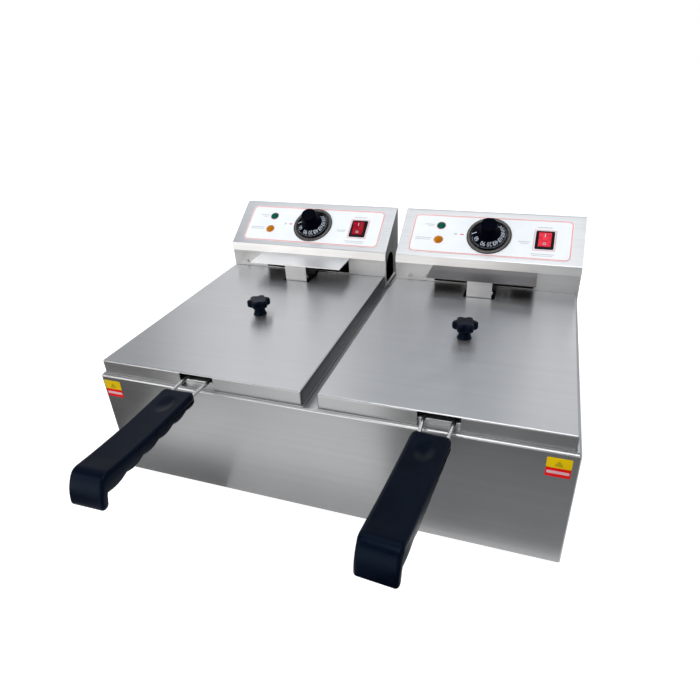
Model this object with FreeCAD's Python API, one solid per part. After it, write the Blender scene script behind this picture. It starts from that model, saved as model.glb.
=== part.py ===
"""Twin-tank counter-top deep fryer, built as an assembly of separate sub-parts.

Lengths are in millimetres.  While a sub-part is being drawn, x = 0 is the middle of the fryer (or of
one of its two frying units), y = 0 is the casing's front face with +y towards the back, and z = 0 is
the surface that the feet stand on.  Each shape is moved by ORIGIN_Y as it is written, so the finished
assembly has its origin under the middle of its bounding box.
"""
import FreeCAD, Part
import math
import os

V = FreeCAD.Vector

# ---------------------------------------------------------------- driving dimensions
CASING_W = 545.0                # outside width of the casing
CASING_D = 400.0                # outside depth of the casing
CASING_TOP = 156.0              # height of the casing above the worktop
FOOT_H = 12.0                   # clear height under the casing
SHEET = 1.0                     # stainless sheet thickness
FOLD_R = 2.5                    # outside radius of the casing's folds
FLANGE = 8.0                    # width of the casing's turned-in top edge
DECK_TOP = CASING_TOP - SHEET   # the deck is fixed under that edge
TRAY_H = 14.0                   # height of the base tray's turned-up edge
FOOT_X = 236.0
FOOT_Y = (44.0, 352.0)
FOOT_BOLT_R = 2.4
UNIT_X = 138.5                  # centre of each frying unit, left and right of the middle
HEAD_X = 1.6                    # each head sits this much to the right of its tank
HANDLE_FRONT = -180.0           # user's end of the basket handles, before they are turned
HANDLE_PIVOT_Y = -22.0          # the handles are turned a little about their wires' ends
HANDLE_TURNS = {"_left": 1.1, "_right": -4.1}
HANDLE_REACH = -180.97          # furthest corner of the turned handles
GLAND_BACK = 420.97             # furthest point of the cord glands
ORIGIN_Y = (HANDLE_REACH + GLAND_BACK) / 2
GAP = 0.3                       # air left between pieces that lift apart

SHANK_R = 1.9                   # small sheet-metal screws
SCREW_HOLE_R = 1.95
REAR_SCREWS_X = (-250.0, -90.0, 90.0, 250.0)
REAR_SCREWS_Z = (19.0, 148.0)
DECK_SCREW_X = -1.0             # screw in the deck between the two heads
DECK_SCREW_Y = 341.0

RIM_TOP = 157.2                 # top of the oil tank's rim
RIM_HALF_W = 131.5
RIM_FRONT = 2.5
RIM_BACK = 352.0
TANK_HALF_W = 115.0             # inside of the oil tank
TANK_FRONT = 22.0
TANK_BACK = 322.0
TANK_FLOOR = 36.0
TANK_CORNER_R = 22.0
WIRE_REST_HALF_W = 112.0        # bar across the front of the rim, under the basket's wires
WIRE_REST_Y = (9.5, 17.5)
WIRE_REST_TOP = 163.4

LID_TOP = 174.5
LID_BOTTOM = RIM_TOP + GAP
LID_HALF_W = 129.5
LID_FRONT = 4.5
LID_BACK = 330.5
LID_FOLD_R = 2.0
HANDLE_NOTCH_HALF_W = 21.7      # gap in the lid's front flange for the basket handle
STEM_NOTCH_HALF_W = 21.6        # slot in the lid's back edge for the element stem
STEM_NOTCH_FRONT = 284.3
KNOB_Y = 166.5                  # lid knob
KNOB_CAP_LOW = 187.0
KNOB_TOP = 196.5
KNOB_BOLT_R = 2.5
KNOB_HOLE_R = 2.6

HEAD_HALF_W = 130.5
HEAD_BOTTOM = RIM_TOP + GAP
HEAD_FRONT = 331.0
HEAD_BACK = 405.5
LIP_BOTTOM = 201.0              # front lip of the control head's cover
LIP_FLARE = 2.6
BEND_Z = 213.0                  # where the sloping panel starts
PANEL_ANGLE = 34.17
BEND_R = 3.0                    # outside radius of the bend above the lip
RIDGE_R = 2.5                   # outside radius of the fold at the top
RIDGE_Z = BEND_Z + (HEAD_BACK - HEAD_FRONT) * math.tan(math.radians(PANEL_ANGLE))
BACK_TOP = 249.4                # the cover's turned-down back edge ends here
BACK_COVER_LOW = 112.0          # the back wall reaches down behind the casing
FACE_TOP = 207.4                # top edge of the head's front face, behind the lip
PASSAGE_HALF_W = 71.0           # opening in the face under the hook plate
PASSAGE_Z = (176.0, 199.0)
FACE_SCREWS_X = (-108.0, -85.0)
FACE_SCREWS_Z = 181.0
VENT_Y = (336.0, 376.0)         # arched vent in each side of the head
VENT_Z = (163.0, 205.0)
VENT_TOP_R = 19.0
VENT_CORNER_R = 3.0
GLAND_X = 80.0                  # cord gland and reset button on the back wall
GLAND_Z = 188.0
GLAND_R = 8.0
RESET_X = -80.0
RESET_R = 4.0

LABEL_HALF_W = 114.5            # printed panel on the slope, distances measured up the slope
LABEL_LOW = 7.5
LABEL_HIGH = 77.0
LABEL_T = 0.4
LABEL_CORNER_R = 8.0
DIAL_S = 43.0
DIAL_R = 25.5
BEZEL_R = 32.0
BEZEL_IN_R = 26.2
SHAFT_R = 3.0
LAMP_X = -72.0
LAMP_GREEN_S = 57.0
LAMP_AMBER_S = 31.0
LAMP_R = 6.2
LAMP_HOLE_R = 5.4
LAMP_DOME_R = 7.6
LAMP_TOP = 3.9
ROCKER_X = 77.5
ROCKER_S = 41.0
ROCKER_W = 25.5
ROCKER_H = 31.0
ROCKER_TILT = 9.0               # the paddle leans this much to either side
ROCKER_PIVOT = -3.5             # the paddle's pivot, measured outwards from the sloping panel
PADDLE_W = 17.4

HOOK_HALF_W = 73.5              # shelf that a raised basket hangs on
HOOK_FRONT = 282.0
HOOK_TOP = 200.9
HOOK_T = 1.5
STEM_HALF_W = 17.0              # channel that carries the element down into the oil
STEM_FRONT = 286.0
STEM_BACK = 316.0
STEM_BOTTOM = 72.0
STEM_T = 1.2
STEM_SCREW_Y = 291.0

ELEMENT_R = 4.0
ELEMENT_Z = 50.0
ELEMENT_LEG_X = 9.5             # the element's two legs inside the stem
ELEMENT_LEG_Y = 303.0
BULB_Z = 60.0                   # thermostat bulb, above the element
BULB_LEG_Y = 293.0
BULB_TUBE_R = 1.1
LEG_TOP = 178.0
BASKET_HALF_W = 92.0
BASKET_FRONT = 42.0
BASKET_BACK = 272.0
BASKET_FLOOR = 66.0
BASKET_RIM_Z = 146.0
WIRE_R = 2.1
HANDLE_HALF_W = 19.25
HANDLE_WIRE_X = 14.0
HANDLE_WIRE_Z = 168.5
HANDLE_TOP = 175.0
SCALLOP = 24.3                  # spacing of the finger grooves under the handle
GROOVE_FIRST_Y = -45.5
GROOVE_Z = 162.4
CREST_Z = 159.7
GRIP_BACK = -26.5               # end of the grip nearest the casing
DISH_Y = -53.0                  # thumb dish
DISH_R = 30.0
DISH_DEPTH = 1.2


# ---------------------------------------------------------------- drawing helpers
def box(x0, x1, y0, y1, z0, z1):
    return Part.makeBox(x1 - x0, y1 - y0, z1 - z0, V(x0, y0, z0))


def cylinder(radius, start, end):
    axis = V(*end) - V(*start)
    return Part.makeCylinder(radius, axis.Length, V(*start), axis)


def cone(radius_start, radius_end, start, end):
    axis = V(*end) - V(*start)
    return Part.makeCone(radius_start, radius_end, axis.Length, V(*start), axis)


def prism_x(outline_yz, x0, x1):
    """Solid with the given side outline, from x0 to x1."""
    points = [V(x0, y, z) for y, z in outline_yz]
    return Part.Face(Part.makePolygon(points + points[:1])).extrude(V(x1 - x0, 0, 0))


def fuse(shapes):
    return shapes[0].multiFuse(shapes[1:]).removeSplitter()


def cut(shape, tools):
    for tool in tools:
        shape = shape.cut(tool)
    return shape


def upright_edges(shape):
    return [edge for edge in shape.Edges if abs(edge.tangentAt(edge.FirstParameter).z) > 0.9]


def rounded_box(x0, x1, y0, y1, z0, z1, radius):
    """Box whose upright edges are all rounded."""
    block = box(x0, x1, y0, y1, z0, z1)
    return block.makeFillet(radius, upright_edges(block))


def front_rounded_box(x0, x1, y0, y1, z0, z1, radius):
    """Box whose two upright edges at the front are rounded."""
    block = box(x0, x1, y0, y1, z0, z1)
    return block.makeFillet(radius, [edge for edge in upright_edges(block) if edge.BoundBox.YMax < y0 + 1])


def bent_path(points, bend, closed=False):
    """Straight runs joined by tangent arcs."""
    corners = [V(*point) for point in points]
    count = len(corners)
    first = (corners[0] + corners[-1]) * 0.5 if closed else corners[0]
    start = first
    edges = []
    for i in range(0 if closed else 1, count if closed else count - 1):
        corner = corners[i]
        into = (corner - (corners[i - 1] if i or closed else start)).normalize()
        out = (corners[(i + 1) % count] - corner).normalize()
        half_turn = into.getAngle(out) / 2
        setback = bend * math.tan(half_turn)
        inward = (out - into).normalize()
        enter = corner - into * setback
        leave = corner + out * setback
        middle = corner + inward * (bend / math.cos(half_turn) - bend)
        edges.append(Part.LineSegment(start, enter).toShape())
        edges.append(Part.Arc(enter, middle, leave).toShape())
        start = leave
    edges.append(Part.LineSegment(start, first if closed else corners[-1]).toShape())
    return Part.Wire(edges)


def rod(points, radius, bend, closed=False):
    """Round bar or wire along a bent path."""
    path = bent_path(points, bend, closed)
    edge = path.OrderedEdges[0]
    start = edge.valueAt(edge.FirstParameter)
    tangent = edge.tangentAt(edge.FirstParameter)
    section = Part.Wire(Part.makeCircle(radius, start, tangent))
    return path.makePipeShell([section], True, False)


def on_panel(shape):
    """Turn a shape drawn flat (x across, y up the slope, z outwards) onto the sloping panel."""
    placed = shape.copy()
    placed.rotate(V(0, 0, 0), V(1, 0, 0), PANEL_ANGLE)
    placed.translate(V(0, HEAD_FRONT, BEND_Z))
    return placed


def screw(at, direction, head_r=3.6, head_h=2.2, shank_r=SHANK_R, length=7.0):
    """Pan-head screw with a cross recess; the head stands outwards along direction from at."""
    out = V(*direction)
    base = V(*at)
    head = Part.makeCylinder(head_r, head_h, base, out)
    shank = Part.makeCylinder(shank_r, length, base - out * length, out)
    across = V(0, 0, 1).cross(out)
    if across.Length < 0.1:
        across = V(1, 0, 0)
    across.normalize()
    body = head.fuse(shank)
    for blade in (across, across.cross(out)):
        corner = base + out * (head_h - 0.9) - blade * (head_r * 0.6) - out.cross(blade) * 0.4
        wide = Part.makeBox(head_r * 1.2, 0.8, 1.0)
        wide.Placement = FreeCAD.Placement(corner, FreeCAD.Rotation(blade, out.cross(blade), out, "XYZ"))
        body = body.cut(wide)
    return body


# ---------------------------------------------------------------- casing
def casing_wrap():
    """Front and both sides in one folded sheet, with a turned-in edge round the top."""
    half = CASING_W / 2
    outer = folded_box(-half, half, 0, CASING_D, FOOT_H, CASING_TOP, FOLD_R)
    inner = folded_box(-half + SHEET, half - SHEET, SHEET, CASING_D + 1, FOOT_H - 1, DECK_TOP, FOLD_R - SHEET)
    opening = box(-half + FLANGE, half - FLANGE, FLANGE, CASING_D + 1, DECK_TOP - 1, CASING_TOP + 1)
    return cut(outer, [inner, opening])


def folded_box(x0, x1, y0, y1, z0, z1, radius):
    """Box with rounded edges where the front, the sides and the top meet."""
    block = box(x0, x1, y0, y1, z0, z1)
    edges = []
    for edge in block.Edges:
        bounds = edge.BoundBox
        front_corner = bounds.ZLength > 1 and bounds.YMax < y0 + 1
        top_edge = bounds.ZMin > z1 - 1 and bounds.YMin < y1 - 1
        if front_corner or top_edge:
            edges.append(edge)
    return block.makeFillet(radius, edges)


def rear_panel():
    """Back wall with a row of vent slots behind each tank."""
    half = CASING_W / 2 - SHEET
    panel = box(-half, half, CASING_D - SHEET, CASING_D, FOOT_H, DECK_TOP)
    corners = [e for e in panel.Edges if e.BoundBox.ZMin > DECK_TOP - 1 and e.BoundBox.YLength > 0.5]
    panel = panel.makeFillet(FOLD_R - SHEET, corners)
    slots = []
    for side in (-UNIT_X, UNIT_X):
        for i in range(9):
            x = side + (i - 4) * 16.0
            slots.append(box(x - 2.5, x + 2.5, CASING_D - 3, CASING_D + 1, 52, 88))
    return cut(panel, slots + rear_screw_holes(REAR_SCREWS_Z))


def rear_screw_holes(heights):
    """Drills through the back wall and the edge that it is screwed to."""
    return [cylinder(SCREW_HOLE_R, (x, CASING_D - 3, z), (x, CASING_D + 1, z))
            for x in REAR_SCREWS_X for z in heights]


def top_deck():
    """Flat deck with an opening for each oil tank and an edge turned down at the back."""
    half = CASING_W / 2 - FOLD_R
    deck = box(-half, half, FOLD_R, CASING_D - SHEET, DECK_TOP - SHEET, DECK_TOP)
    edge = box(-half, half, CASING_D - 2 * SHEET, CASING_D - SHEET, DECK_TOP - TRAY_H, DECK_TOP)
    openings = []
    for side in (-UNIT_X, UNIT_X):
        openings.append(rounded_box(side - TANK_HALF_W - 3.5, side + TANK_HALF_W + 3.5, TANK_FRONT - 3.5,
                                    TANK_BACK + 3.5, DECK_TOP - 5, DECK_TOP + 5, TANK_CORNER_R + 3))
    screw_hole = cylinder(SCREW_HOLE_R, (DECK_SCREW_X, DECK_SCREW_Y, DECK_TOP - 3),
                          (DECK_SCREW_X, DECK_SCREW_Y, DECK_TOP + 1))
    return cut(fuse([deck, edge]), openings + [screw_hole] + rear_screw_holes(REAR_SCREWS_Z[1:]))


def base_plate():
    """Bottom tray with turned-up edges, drilled for the feet and the back wall's screws."""
    half = CASING_W / 2 - SHEET
    tray = front_rounded_box(-half, half, SHEET, CASING_D - SHEET,
                             FOOT_H, FOOT_H + TRAY_H, FOLD_R - SHEET)
    hollow = box(-half + SHEET, half - SHEET, 2 * SHEET, CASING_D - 2 * SHEET,
                 FOOT_H + SHEET, FOOT_H + TRAY_H + 1)
    holes = [cylinder(FOOT_BOLT_R + 0.1, (x, y, FOOT_H - 1), (x, y, FOOT_H + 3)) for x, y in foot_places()]
    return cut(tray, [hollow] + holes + rear_screw_holes(REAR_SCREWS_Z[:1]))


def foot_places():
    return [(x, y) for x in (-FOOT_X, FOOT_X) for y in FOOT_Y]


def rubber_feet():
    """Four tapered feet, each with a recess for its screw."""
    feet = []
    for x, y in foot_places():
        foot = cone(13.0, 15.0, (x, y, 0), (x, y, FOOT_H))
        recess = cylinder(5.5, (x, y, -1), (x, y, 6))
        bore = cylinder(FOOT_BOLT_R + 0.1, (x, y, 5), (x, y, FOOT_H + 1))
        feet.append(cut(foot, [recess, bore]))
    return Part.makeCompound(feet)


def casing_screws():
    """Screws of the feet, the back wall and the deck."""
    screws = [screw((x, y, 6), (0, 0, -1), 4.5, 2.6, FOOT_BOLT_R, 10.0) for x, y in foot_places()]
    screws += [screw((x, CASING_D, z), (0, 1, 0)) for x in REAR_SCREWS_X for z in REAR_SCREWS_Z]
    screws.append(screw((DECK_SCREW_X, DECK_SCREW_Y, DECK_TOP), (0, 0, 1)))
    return Part.makeCompound(screws)


def centre_divider():
    """Folded channel that stiffens the casing between the tanks."""
    low = FOOT_H + SHEET
    high = DECK_TOP - SHEET
    web = box(-SHEET / 2, SHEET / 2, 30, 370, low, high)
    bottom = box(-SHEET / 2, 14, 30, 370, low, low + SHEET)
    top = box(-SHEET / 2, 14, 30, 370, high - SHEET, high)
    clearance = cylinder(SHANK_R + 0.5, (DECK_SCREW_X, DECK_SCREW_Y, high - 9),
                         (DECK_SCREW_X, DECK_SCREW_Y, high + 1))
    return fuse([web, bottom, top]).cut(clearance)


def hazard_stickers():
    """Two plain stickers on the front, near its top corners."""
    stickers = []
    for x in (-258.0, 254.0):
        stickers.append(box(x - 11.5, x + 11.5, -0.2, 0, 126.5, 149.5))
    return Part.makeCompound(stickers)


# ---------------------------------------------------------------- one frying unit, drawn at x = 0
def oil_tank():
    """Drawn pan with a flat rim that hangs on the casing, and a bar for the basket's wires."""
    wall = SHEET
    rim = box(-RIM_HALF_W, RIM_HALF_W, RIM_FRONT, RIM_BACK, RIM_TOP - SHEET, RIM_TOP)
    outside = rounded_box(-TANK_HALF_W - wall, TANK_HALF_W + wall, TANK_FRONT - wall, TANK_BACK + wall,
                          TANK_FLOOR - wall, RIM_TOP - 0.5, TANK_CORNER_R + wall)
    inside = rounded_box(-TANK_HALF_W, TANK_HALF_W, TANK_FRONT, TANK_BACK,
                         TANK_FLOOR, RIM_TOP + 1, TANK_CORNER_R)
    outside = outside.makeFillet(7.0, [e for e in outside.Edges if e.BoundBox.ZMax < TANK_FLOOR])
    inside = inside.makeFillet(6.0, [e for e in inside.Edges if e.BoundBox.ZMax < TANK_FLOOR + 0.5])
    rest = box(-WIRE_REST_HALF_W, WIRE_REST_HALF_W, *WIRE_REST_Y, RIM_TOP - SHEET, WIRE_REST_TOP)
    rest = rest.makeFillet(1.5, [e for e in rest.Edges if e.BoundBox.ZMin > WIRE_REST_TOP - 1])
    return fuse([rim, outside, rest]).cut(inside)


def lid():
    """Flat lid with a flange all round, notched for the basket handle and the element stem."""
    outside = lid_block(0, LID_BOTTOM)
    inside = lid_block(SHEET, LID_BOTTOM - 1)
    handle_notch = box(-HANDLE_NOTCH_HALF_W, HANDLE_NOTCH_HALF_W, LID_FRONT - 1, LID_FRONT + 3,
                       LID_BOTTOM - 1, LID_TOP - SHEET)
    stem_notch = box(HEAD_X - STEM_NOTCH_HALF_W, HEAD_X + STEM_NOTCH_HALF_W, STEM_NOTCH_FRONT,
                     LID_BACK + 1, LID_BOTTOM - 1, LID_TOP + 1)
    screw_hole = cylinder(KNOB_HOLE_R, (0, KNOB_Y, LID_TOP - 3), (0, KNOB_Y, LID_TOP + 1))
    return cut(outside, [inside, handle_notch, stem_notch, screw_hole])


def lid_block(inset, low):
    """The lid's outer form, or its hollow when inset by the sheet."""
    top = LID_TOP - inset
    radius = LID_FOLD_R - inset
    block = rounded_box(-LID_HALF_W + inset, LID_HALF_W - inset, LID_FRONT + inset, LID_BACK - inset,
                        low, top, radius)
    return block.makeFillet(radius, [e for e in block.Edges if e.BoundBox.ZMin > top - 0.5])


def lid_knob():
    """Star knob on a waisted stem."""
    cap = cylinder(12.5, (0, KNOB_Y, KNOB_CAP_LOW), (0, KNOB_Y, KNOB_TOP))
    pieces = [cap, cone(8.5, 6.8, (0, KNOB_Y, LID_TOP), (0, KNOB_Y, KNOB_CAP_LOW + 0.5))]
    for i in range(6):
        angle = math.radians(60 * i + 15)
        x = 11.3 * math.cos(angle)
        y = KNOB_Y + 11.3 * math.sin(angle)
        pieces.append(cylinder(4.7, (x, y, KNOB_CAP_LOW), (x, y, KNOB_TOP - 1)))
    return fuse(pieces).cut(cylinder(KNOB_HOLE_R, (0, KNOB_Y, LID_TOP - 1),
                                     (0, KNOB_Y, KNOB_TOP - 3)))


def lid_knob_fixing():
    """Screw and washer that hold the knob from under the lid."""
    under = LID_TOP - SHEET
    washer = cylinder(7.0, (0, KNOB_Y, under - 1.2), (0, KNOB_Y, under))
    washer = washer.cut(cylinder(KNOB_HOLE_R, (0, KNOB_Y, under - 2), (0, KNOB_Y, under + 1)))
    bolt = screw((0, KNOB_Y, under - 1.2), (0, 0, -1), 4.5, 3.0, KNOB_BOLT_R, 17.0)
    return Part.makeCompound([washer, bolt])


def turned(x, y, z, turn):
    """A point of the handle, turned about the end of its wires."""
    angle = math.radians(turn)
    y -= HANDLE_PIVOT_Y
    return (x * math.cos(angle) - y * math.sin(angle),
            HANDLE_PIVOT_Y + x * math.sin(angle) + y * math.cos(angle), z)


def basket_frame(turn):
    """Thick wires of the basket: rim, two legs up to the handle and the hook at the back."""
    x = BASKET_HALF_W
    rim = rod([(-x, BASKET_FRONT, BASKET_RIM_Z), (x, BASKET_FRONT, BASKET_RIM_Z),
               (x, BASKET_BACK, BASKET_RIM_Z), (-x, BASKET_BACK, BASKET_RIM_Z)], WIRE_R, 18.0, True)
    wires = [rim]
    for side in (-1, 1):
        leg = [turned(side * HANDLE_WIRE_X, -60, HANDLE_WIRE_Z, turn),
               turned(side * HANDLE_WIRE_X, HANDLE_PIVOT_Y, HANDLE_WIRE_Z - 0.7, turn),
               (side * (HANDLE_WIRE_X + 2), 28, HANDLE_WIRE_Z - 3.0),
               (side * (HANDLE_WIRE_X + 2), BASKET_FRONT, BASKET_RIM_Z),
               (side * (HANDLE_WIRE_X + 2), BASKET_FRONT, BASKET_FLOOR + 20)]
        wires.append(rod(leg, WIRE_R, 5.0))
    hook = [(-30, BASKET_BACK, BASKET_FLOOR + 30), (-30, BASKET_BACK, BASKET_RIM_Z + 9),
            (30, BASKET_BACK, BASKET_RIM_Z + 9), (30, BASKET_BACK, BASKET_FLOOR + 30)]
    wires.append(rod(hook, WIRE_R * 0.8, 8.0))
    return fuse(wires)


def basket_mesh():
    """Outer form of the wire mesh: an open-topped tapered pan inside the rim."""
    def pan(offset, top):
        sections = []
        for inset, z in ((10.0 + offset, BASKET_FLOOR + offset), (4.0 + offset, top)):
            x = BASKET_HALF_W - inset
            path = bent_path([(-x, BASKET_FRONT + inset, z), (x, BASKET_FRONT + inset, z),
                              (x, BASKET_BACK - inset, z), (-x, BASKET_BACK - inset, z)], 18.0, True)
            sections.append(path)
        return Part.makeLoft(sections, True)
    return pan(0, BASKET_RIM_Z + 1).cut(pan(1.5, BASKET_RIM_Z + 3))


def basket_handle(turn):
    """Moulded grip: flat top, thumb dish, finger grooves below and a hook at the user's end."""
    grooves = [GROOVE_FIRST_Y - i * SCALLOP for i in range(6)]

    def line(a, b):
        return Part.LineSegment(V(0, *a), V(0, *b)).toShape()

    def arc(a, b, c):
        return Part.Arc(V(0, *a), V(0, *b), V(0, *c)).toShape()

    edges = [line((GRIP_BACK, 173), (GRIP_BACK - 2, HANDLE_TOP)),
             arc((GRIP_BACK - 2, HANDLE_TOP), (-95, 175.6), (-162, 180.2)),
             arc((-162, 180.2), (-168.6, 178.9), (-172.5, 174.5)),
             arc((-172.5, 174.5), (-178.3, 163.0), (HANDLE_FRONT, 153)),
             arc((HANDLE_FRONT, 153), (-178.5, 149.5), (-175.5, 148.5)),
             arc((-175.5, 148.5), (-172.0, 150.0), (-170.6, 153.5)),
             line((-170.6, 153.5), (grooves[5] - 1.5, GROOVE_Z - 1))]
    here = (grooves[5] - 1.5, GROOVE_Z - 1)
    for far, near in zip(reversed(grooves[1:]), reversed(grooves[:-1])):
        end = (near, GROOVE_Z)
        edges.append(arc(here, ((far + near) / 2, CREST_Z), end))
        here = end
    edges += [arc(here, (-37, 160.7), (GRIP_BACK - 2, 161.6)), line((GRIP_BACK - 2, 161.6), (GRIP_BACK, 164)),
              line((GRIP_BACK, 164), (GRIP_BACK, 173))]
    grip = Part.Face(Part.Wire(edges)).extrude(V(2 * HANDLE_HALF_W, 0, 0))
    grip.translate(V(-HANDLE_HALF_W, 0, 0))
    dish = Part.makeSphere(DISH_R, V(0, DISH_Y, HANDLE_TOP + DISH_R - DISH_DEPTH))
    for side in (-1, 1):
        x = side * HANDLE_WIRE_X
        grip = grip.cut(cylinder(WIRE_R + 0.02, (x, -61, HANDLE_WIRE_Z),
                                 (x, HANDLE_PIVOT_Y, HANDLE_WIRE_Z - 0.7)))
    grip = grip.cut(dish)
    grip.rotate(V(0, HANDLE_PIVOT_Y, 0), V(0, 0, 1), turn)
    return grip


# ---------------------------------------------------------------- control head
def head_cover():
    """Folded cover: two sides, sloping panel and the lip that overhangs the front."""
    side_outline = [(HEAD_FRONT, HEAD_BOTTOM), (HEAD_FRONT, BEND_Z), (HEAD_BACK, RIDGE_Z),
                    (HEAD_BACK, HEAD_BOTTOM)]
    sides = [prism_x(side_outline, x, x + SHEET) for x in (-HEAD_HALF_W, HEAD_HALF_W - SHEET)]
    slant = math.radians(PANEL_ANGLE)
    drop = SHEET / math.cos(slant)
    back = HEAD_BACK - SHEET
    slope = prism_x([(HEAD_FRONT, BEND_Z), (HEAD_BACK, RIDGE_Z), (HEAD_BACK, BACK_TOP), (back, BACK_TOP),
                     (back, RIDGE_Z - SHEET * math.tan(slant) - drop),
                     (HEAD_FRONT + 0.3, BEND_Z + 0.3 * math.tan(slant) - drop)], -HEAD_HALF_W, HEAD_HALF_W)
    lip = prism_x([(HEAD_FRONT, BEND_Z), (HEAD_FRONT - LIP_FLARE, LIP_BOTTOM),
                   (HEAD_FRONT - LIP_FLARE + SHEET, LIP_BOTTOM), (HEAD_FRONT + SHEET, BEND_Z - drop)],
                  -HEAD_HALF_W, HEAD_HALF_W)
    cover = fuse(sides + [slope, lip])
    cover = cover.makeFillet(BEND_R, [e for e in cover.Edges if along_x_at(e, HEAD_FRONT, BEND_Z)])
    cover = cover.makeFillet(RIDGE_R, [e for e in cover.Edges if along_x_at(e, HEAD_BACK, RIDGE_Z)])
    openings = [on_panel(tool) for tool in (
        cylinder(SHAFT_R + 1.5, (0, DIAL_S, -5), (0, DIAL_S, 5)),
        cylinder(LAMP_HOLE_R, (LAMP_X, LAMP_GREEN_S, -5), (LAMP_X, LAMP_GREEN_S, 5)),
        cylinder(LAMP_HOLE_R, (LAMP_X, LAMP_AMBER_S, -5), (LAMP_X, LAMP_AMBER_S, 5)),
        rocker_block(ROCKER_W - 3, ROCKER_H - 3, -5, 5))]
    vent = box(-HEAD_HALF_W - 1, HEAD_HALF_W + 1, *VENT_Y, *VENT_Z)
    along = [e for e in vent.Edges if e.BoundBox.XLength > 1]
    vent = vent.makeFillet(VENT_TOP_R, [e for e in along if e.BoundBox.ZMin > VENT_Z[0] + 1])
    low = [e for e in vent.Edges if e.BoundBox.XLength > 1 and e.BoundBox.ZMax < VENT_Z[0] + 1]
    return cut(cover, openings + [vent.makeFillet(VENT_CORNER_R, low)])


def along_x_at(edge, y, z):
    bounds = edge.BoundBox
    return bounds.XLength > 1 and abs(bounds.Center.y - y) < 0.01 and abs(bounds.Center.z - z) < 0.01


def rocker_block(width, height, low, high):
    return box(ROCKER_X - width / 2, ROCKER_X + width / 2, ROCKER_S - height / 2, ROCKER_S + height / 2,
               low, high)


def head_base():
    """Front face and floor of the control head, folded from one sheet and open under the hook plate."""
    half = HEAD_HALF_W - SHEET
    front = box(-half, half, HEAD_FRONT, HEAD_FRONT + SHEET, HEAD_BOTTOM, FACE_TOP)
    floor = box(-half, half, HEAD_FRONT, HEAD_BACK - SHEET, HEAD_BOTTOM, HEAD_BOTTOM + SHEET)
    passage = box(-PASSAGE_HALF_W, PASSAGE_HALF_W, HEAD_FRONT - 1, HEAD_FRONT + 3, *PASSAGE_Z)
    holes = [cylinder(SCREW_HOLE_R, (x, HEAD_FRONT - 1, FACE_SCREWS_Z), (x, HEAD_FRONT + 3, FACE_SCREWS_Z))
             for x in FACE_SCREWS_X]
    return fuse([front, floor]).cut(passage).cut(Part.makeCompound(holes))


def head_back_cover():
    """Back wall with vents; it reaches down behind the casing and keeps the head in place."""
    half = HEAD_HALF_W - SHEET
    wall = box(-half, half, HEAD_BACK - SHEET, HEAD_BACK, BACK_COVER_LOW, BACK_TOP)
    slots = [box(x - 2, x + 2, HEAD_BACK - 3, HEAD_BACK + 1, 212, 236)
             for x in [10.0 * i - 35 for i in range(8)]]
    gland = cylinder(GLAND_R + 0.05, (GLAND_X, HEAD_BACK - 3, GLAND_Z), (GLAND_X, HEAD_BACK + 1, GLAND_Z))
    reset = cylinder(RESET_R + 0.4, (RESET_X, HEAD_BACK - 3, GLAND_Z), (RESET_X, HEAD_BACK + 1, GLAND_Z))
    return cut(wall, slots + [gland, reset])


def label_panel():
    """Thin printed panel with rounded corners."""
    sheet = rounded_box(-LABEL_HALF_W, LABEL_HALF_W, LABEL_LOW, LABEL_HIGH, 0, LABEL_T, LABEL_CORNER_R)
    tools = [cylinder(SHAFT_R + 1.5, (0, DIAL_S, -1), (0, DIAL_S, 1)),
             cylinder(LAMP_HOLE_R, (LAMP_X, LAMP_GREEN_S, -1), (LAMP_X, LAMP_GREEN_S, 1)),
             cylinder(LAMP_HOLE_R, (LAMP_X, LAMP_AMBER_S, -1), (LAMP_X, LAMP_AMBER_S, 1)),
             rocker_block(ROCKER_W - 3, ROCKER_H - 3, -1, 1)]
    return on_panel(cut(sheet, tools))


def basket_hook_plate():
    """Shelf in front of the head; a raised basket hangs on its edge to drain."""
    plate = box(-HOOK_HALF_W, HOOK_HALF_W, HOOK_FRONT, HEAD_FRONT, HOOK_TOP - HOOK_T, HOOK_TOP)
    return plate.makeFillet(6.0, [e for e in upright_edges(plate) if e.BoundBox.YMin > HOOK_FRONT + 1])


def element_stem():
    """Open-backed channel from the hook plate down into the oil."""
    top = HOOK_TOP - HOOK_T
    outline = [(STEM_FRONT, top), (HEAD_FRONT, top), (HEAD_FRONT, 179), (STEM_BACK, 166),
               (STEM_BACK, STEM_BOTTOM), (STEM_FRONT, STEM_BOTTOM)]
    cheeks = [prism_x(outline, x, x + STEM_T) for x in (-STEM_HALF_W, STEM_HALF_W - STEM_T)]
    web = box(-STEM_HALF_W, STEM_HALF_W, STEM_FRONT, STEM_FRONT + STEM_T, STEM_BOTTOM, top)
    shoe = box(-STEM_HALF_W, STEM_HALF_W, STEM_FRONT, STEM_BACK, STEM_BOTTOM, STEM_BOTTOM + STEM_T)
    stem = fuse(cheeks + [web, shoe])
    low = STEM_BOTTOM - 1
    high = STEM_BOTTOM + 3
    holes = [cylinder(ELEMENT_R + 0.05, (x, ELEMENT_LEG_Y, low), (x, ELEMENT_LEG_Y, high))
             for x in (-ELEMENT_LEG_X, ELEMENT_LEG_X)]
    holes.append(cylinder(BULB_TUBE_R + 0.1, (0, BULB_LEG_Y, low), (0, BULB_LEG_Y, high)))
    holes.append(cylinder(SCREW_HOLE_R, (STEM_HALF_W - 3, STEM_SCREW_Y, FACE_SCREWS_Z),
                          (STEM_HALF_W + 1, STEM_SCREW_Y, FACE_SCREWS_Z)))
    return cut(stem, holes)


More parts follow.
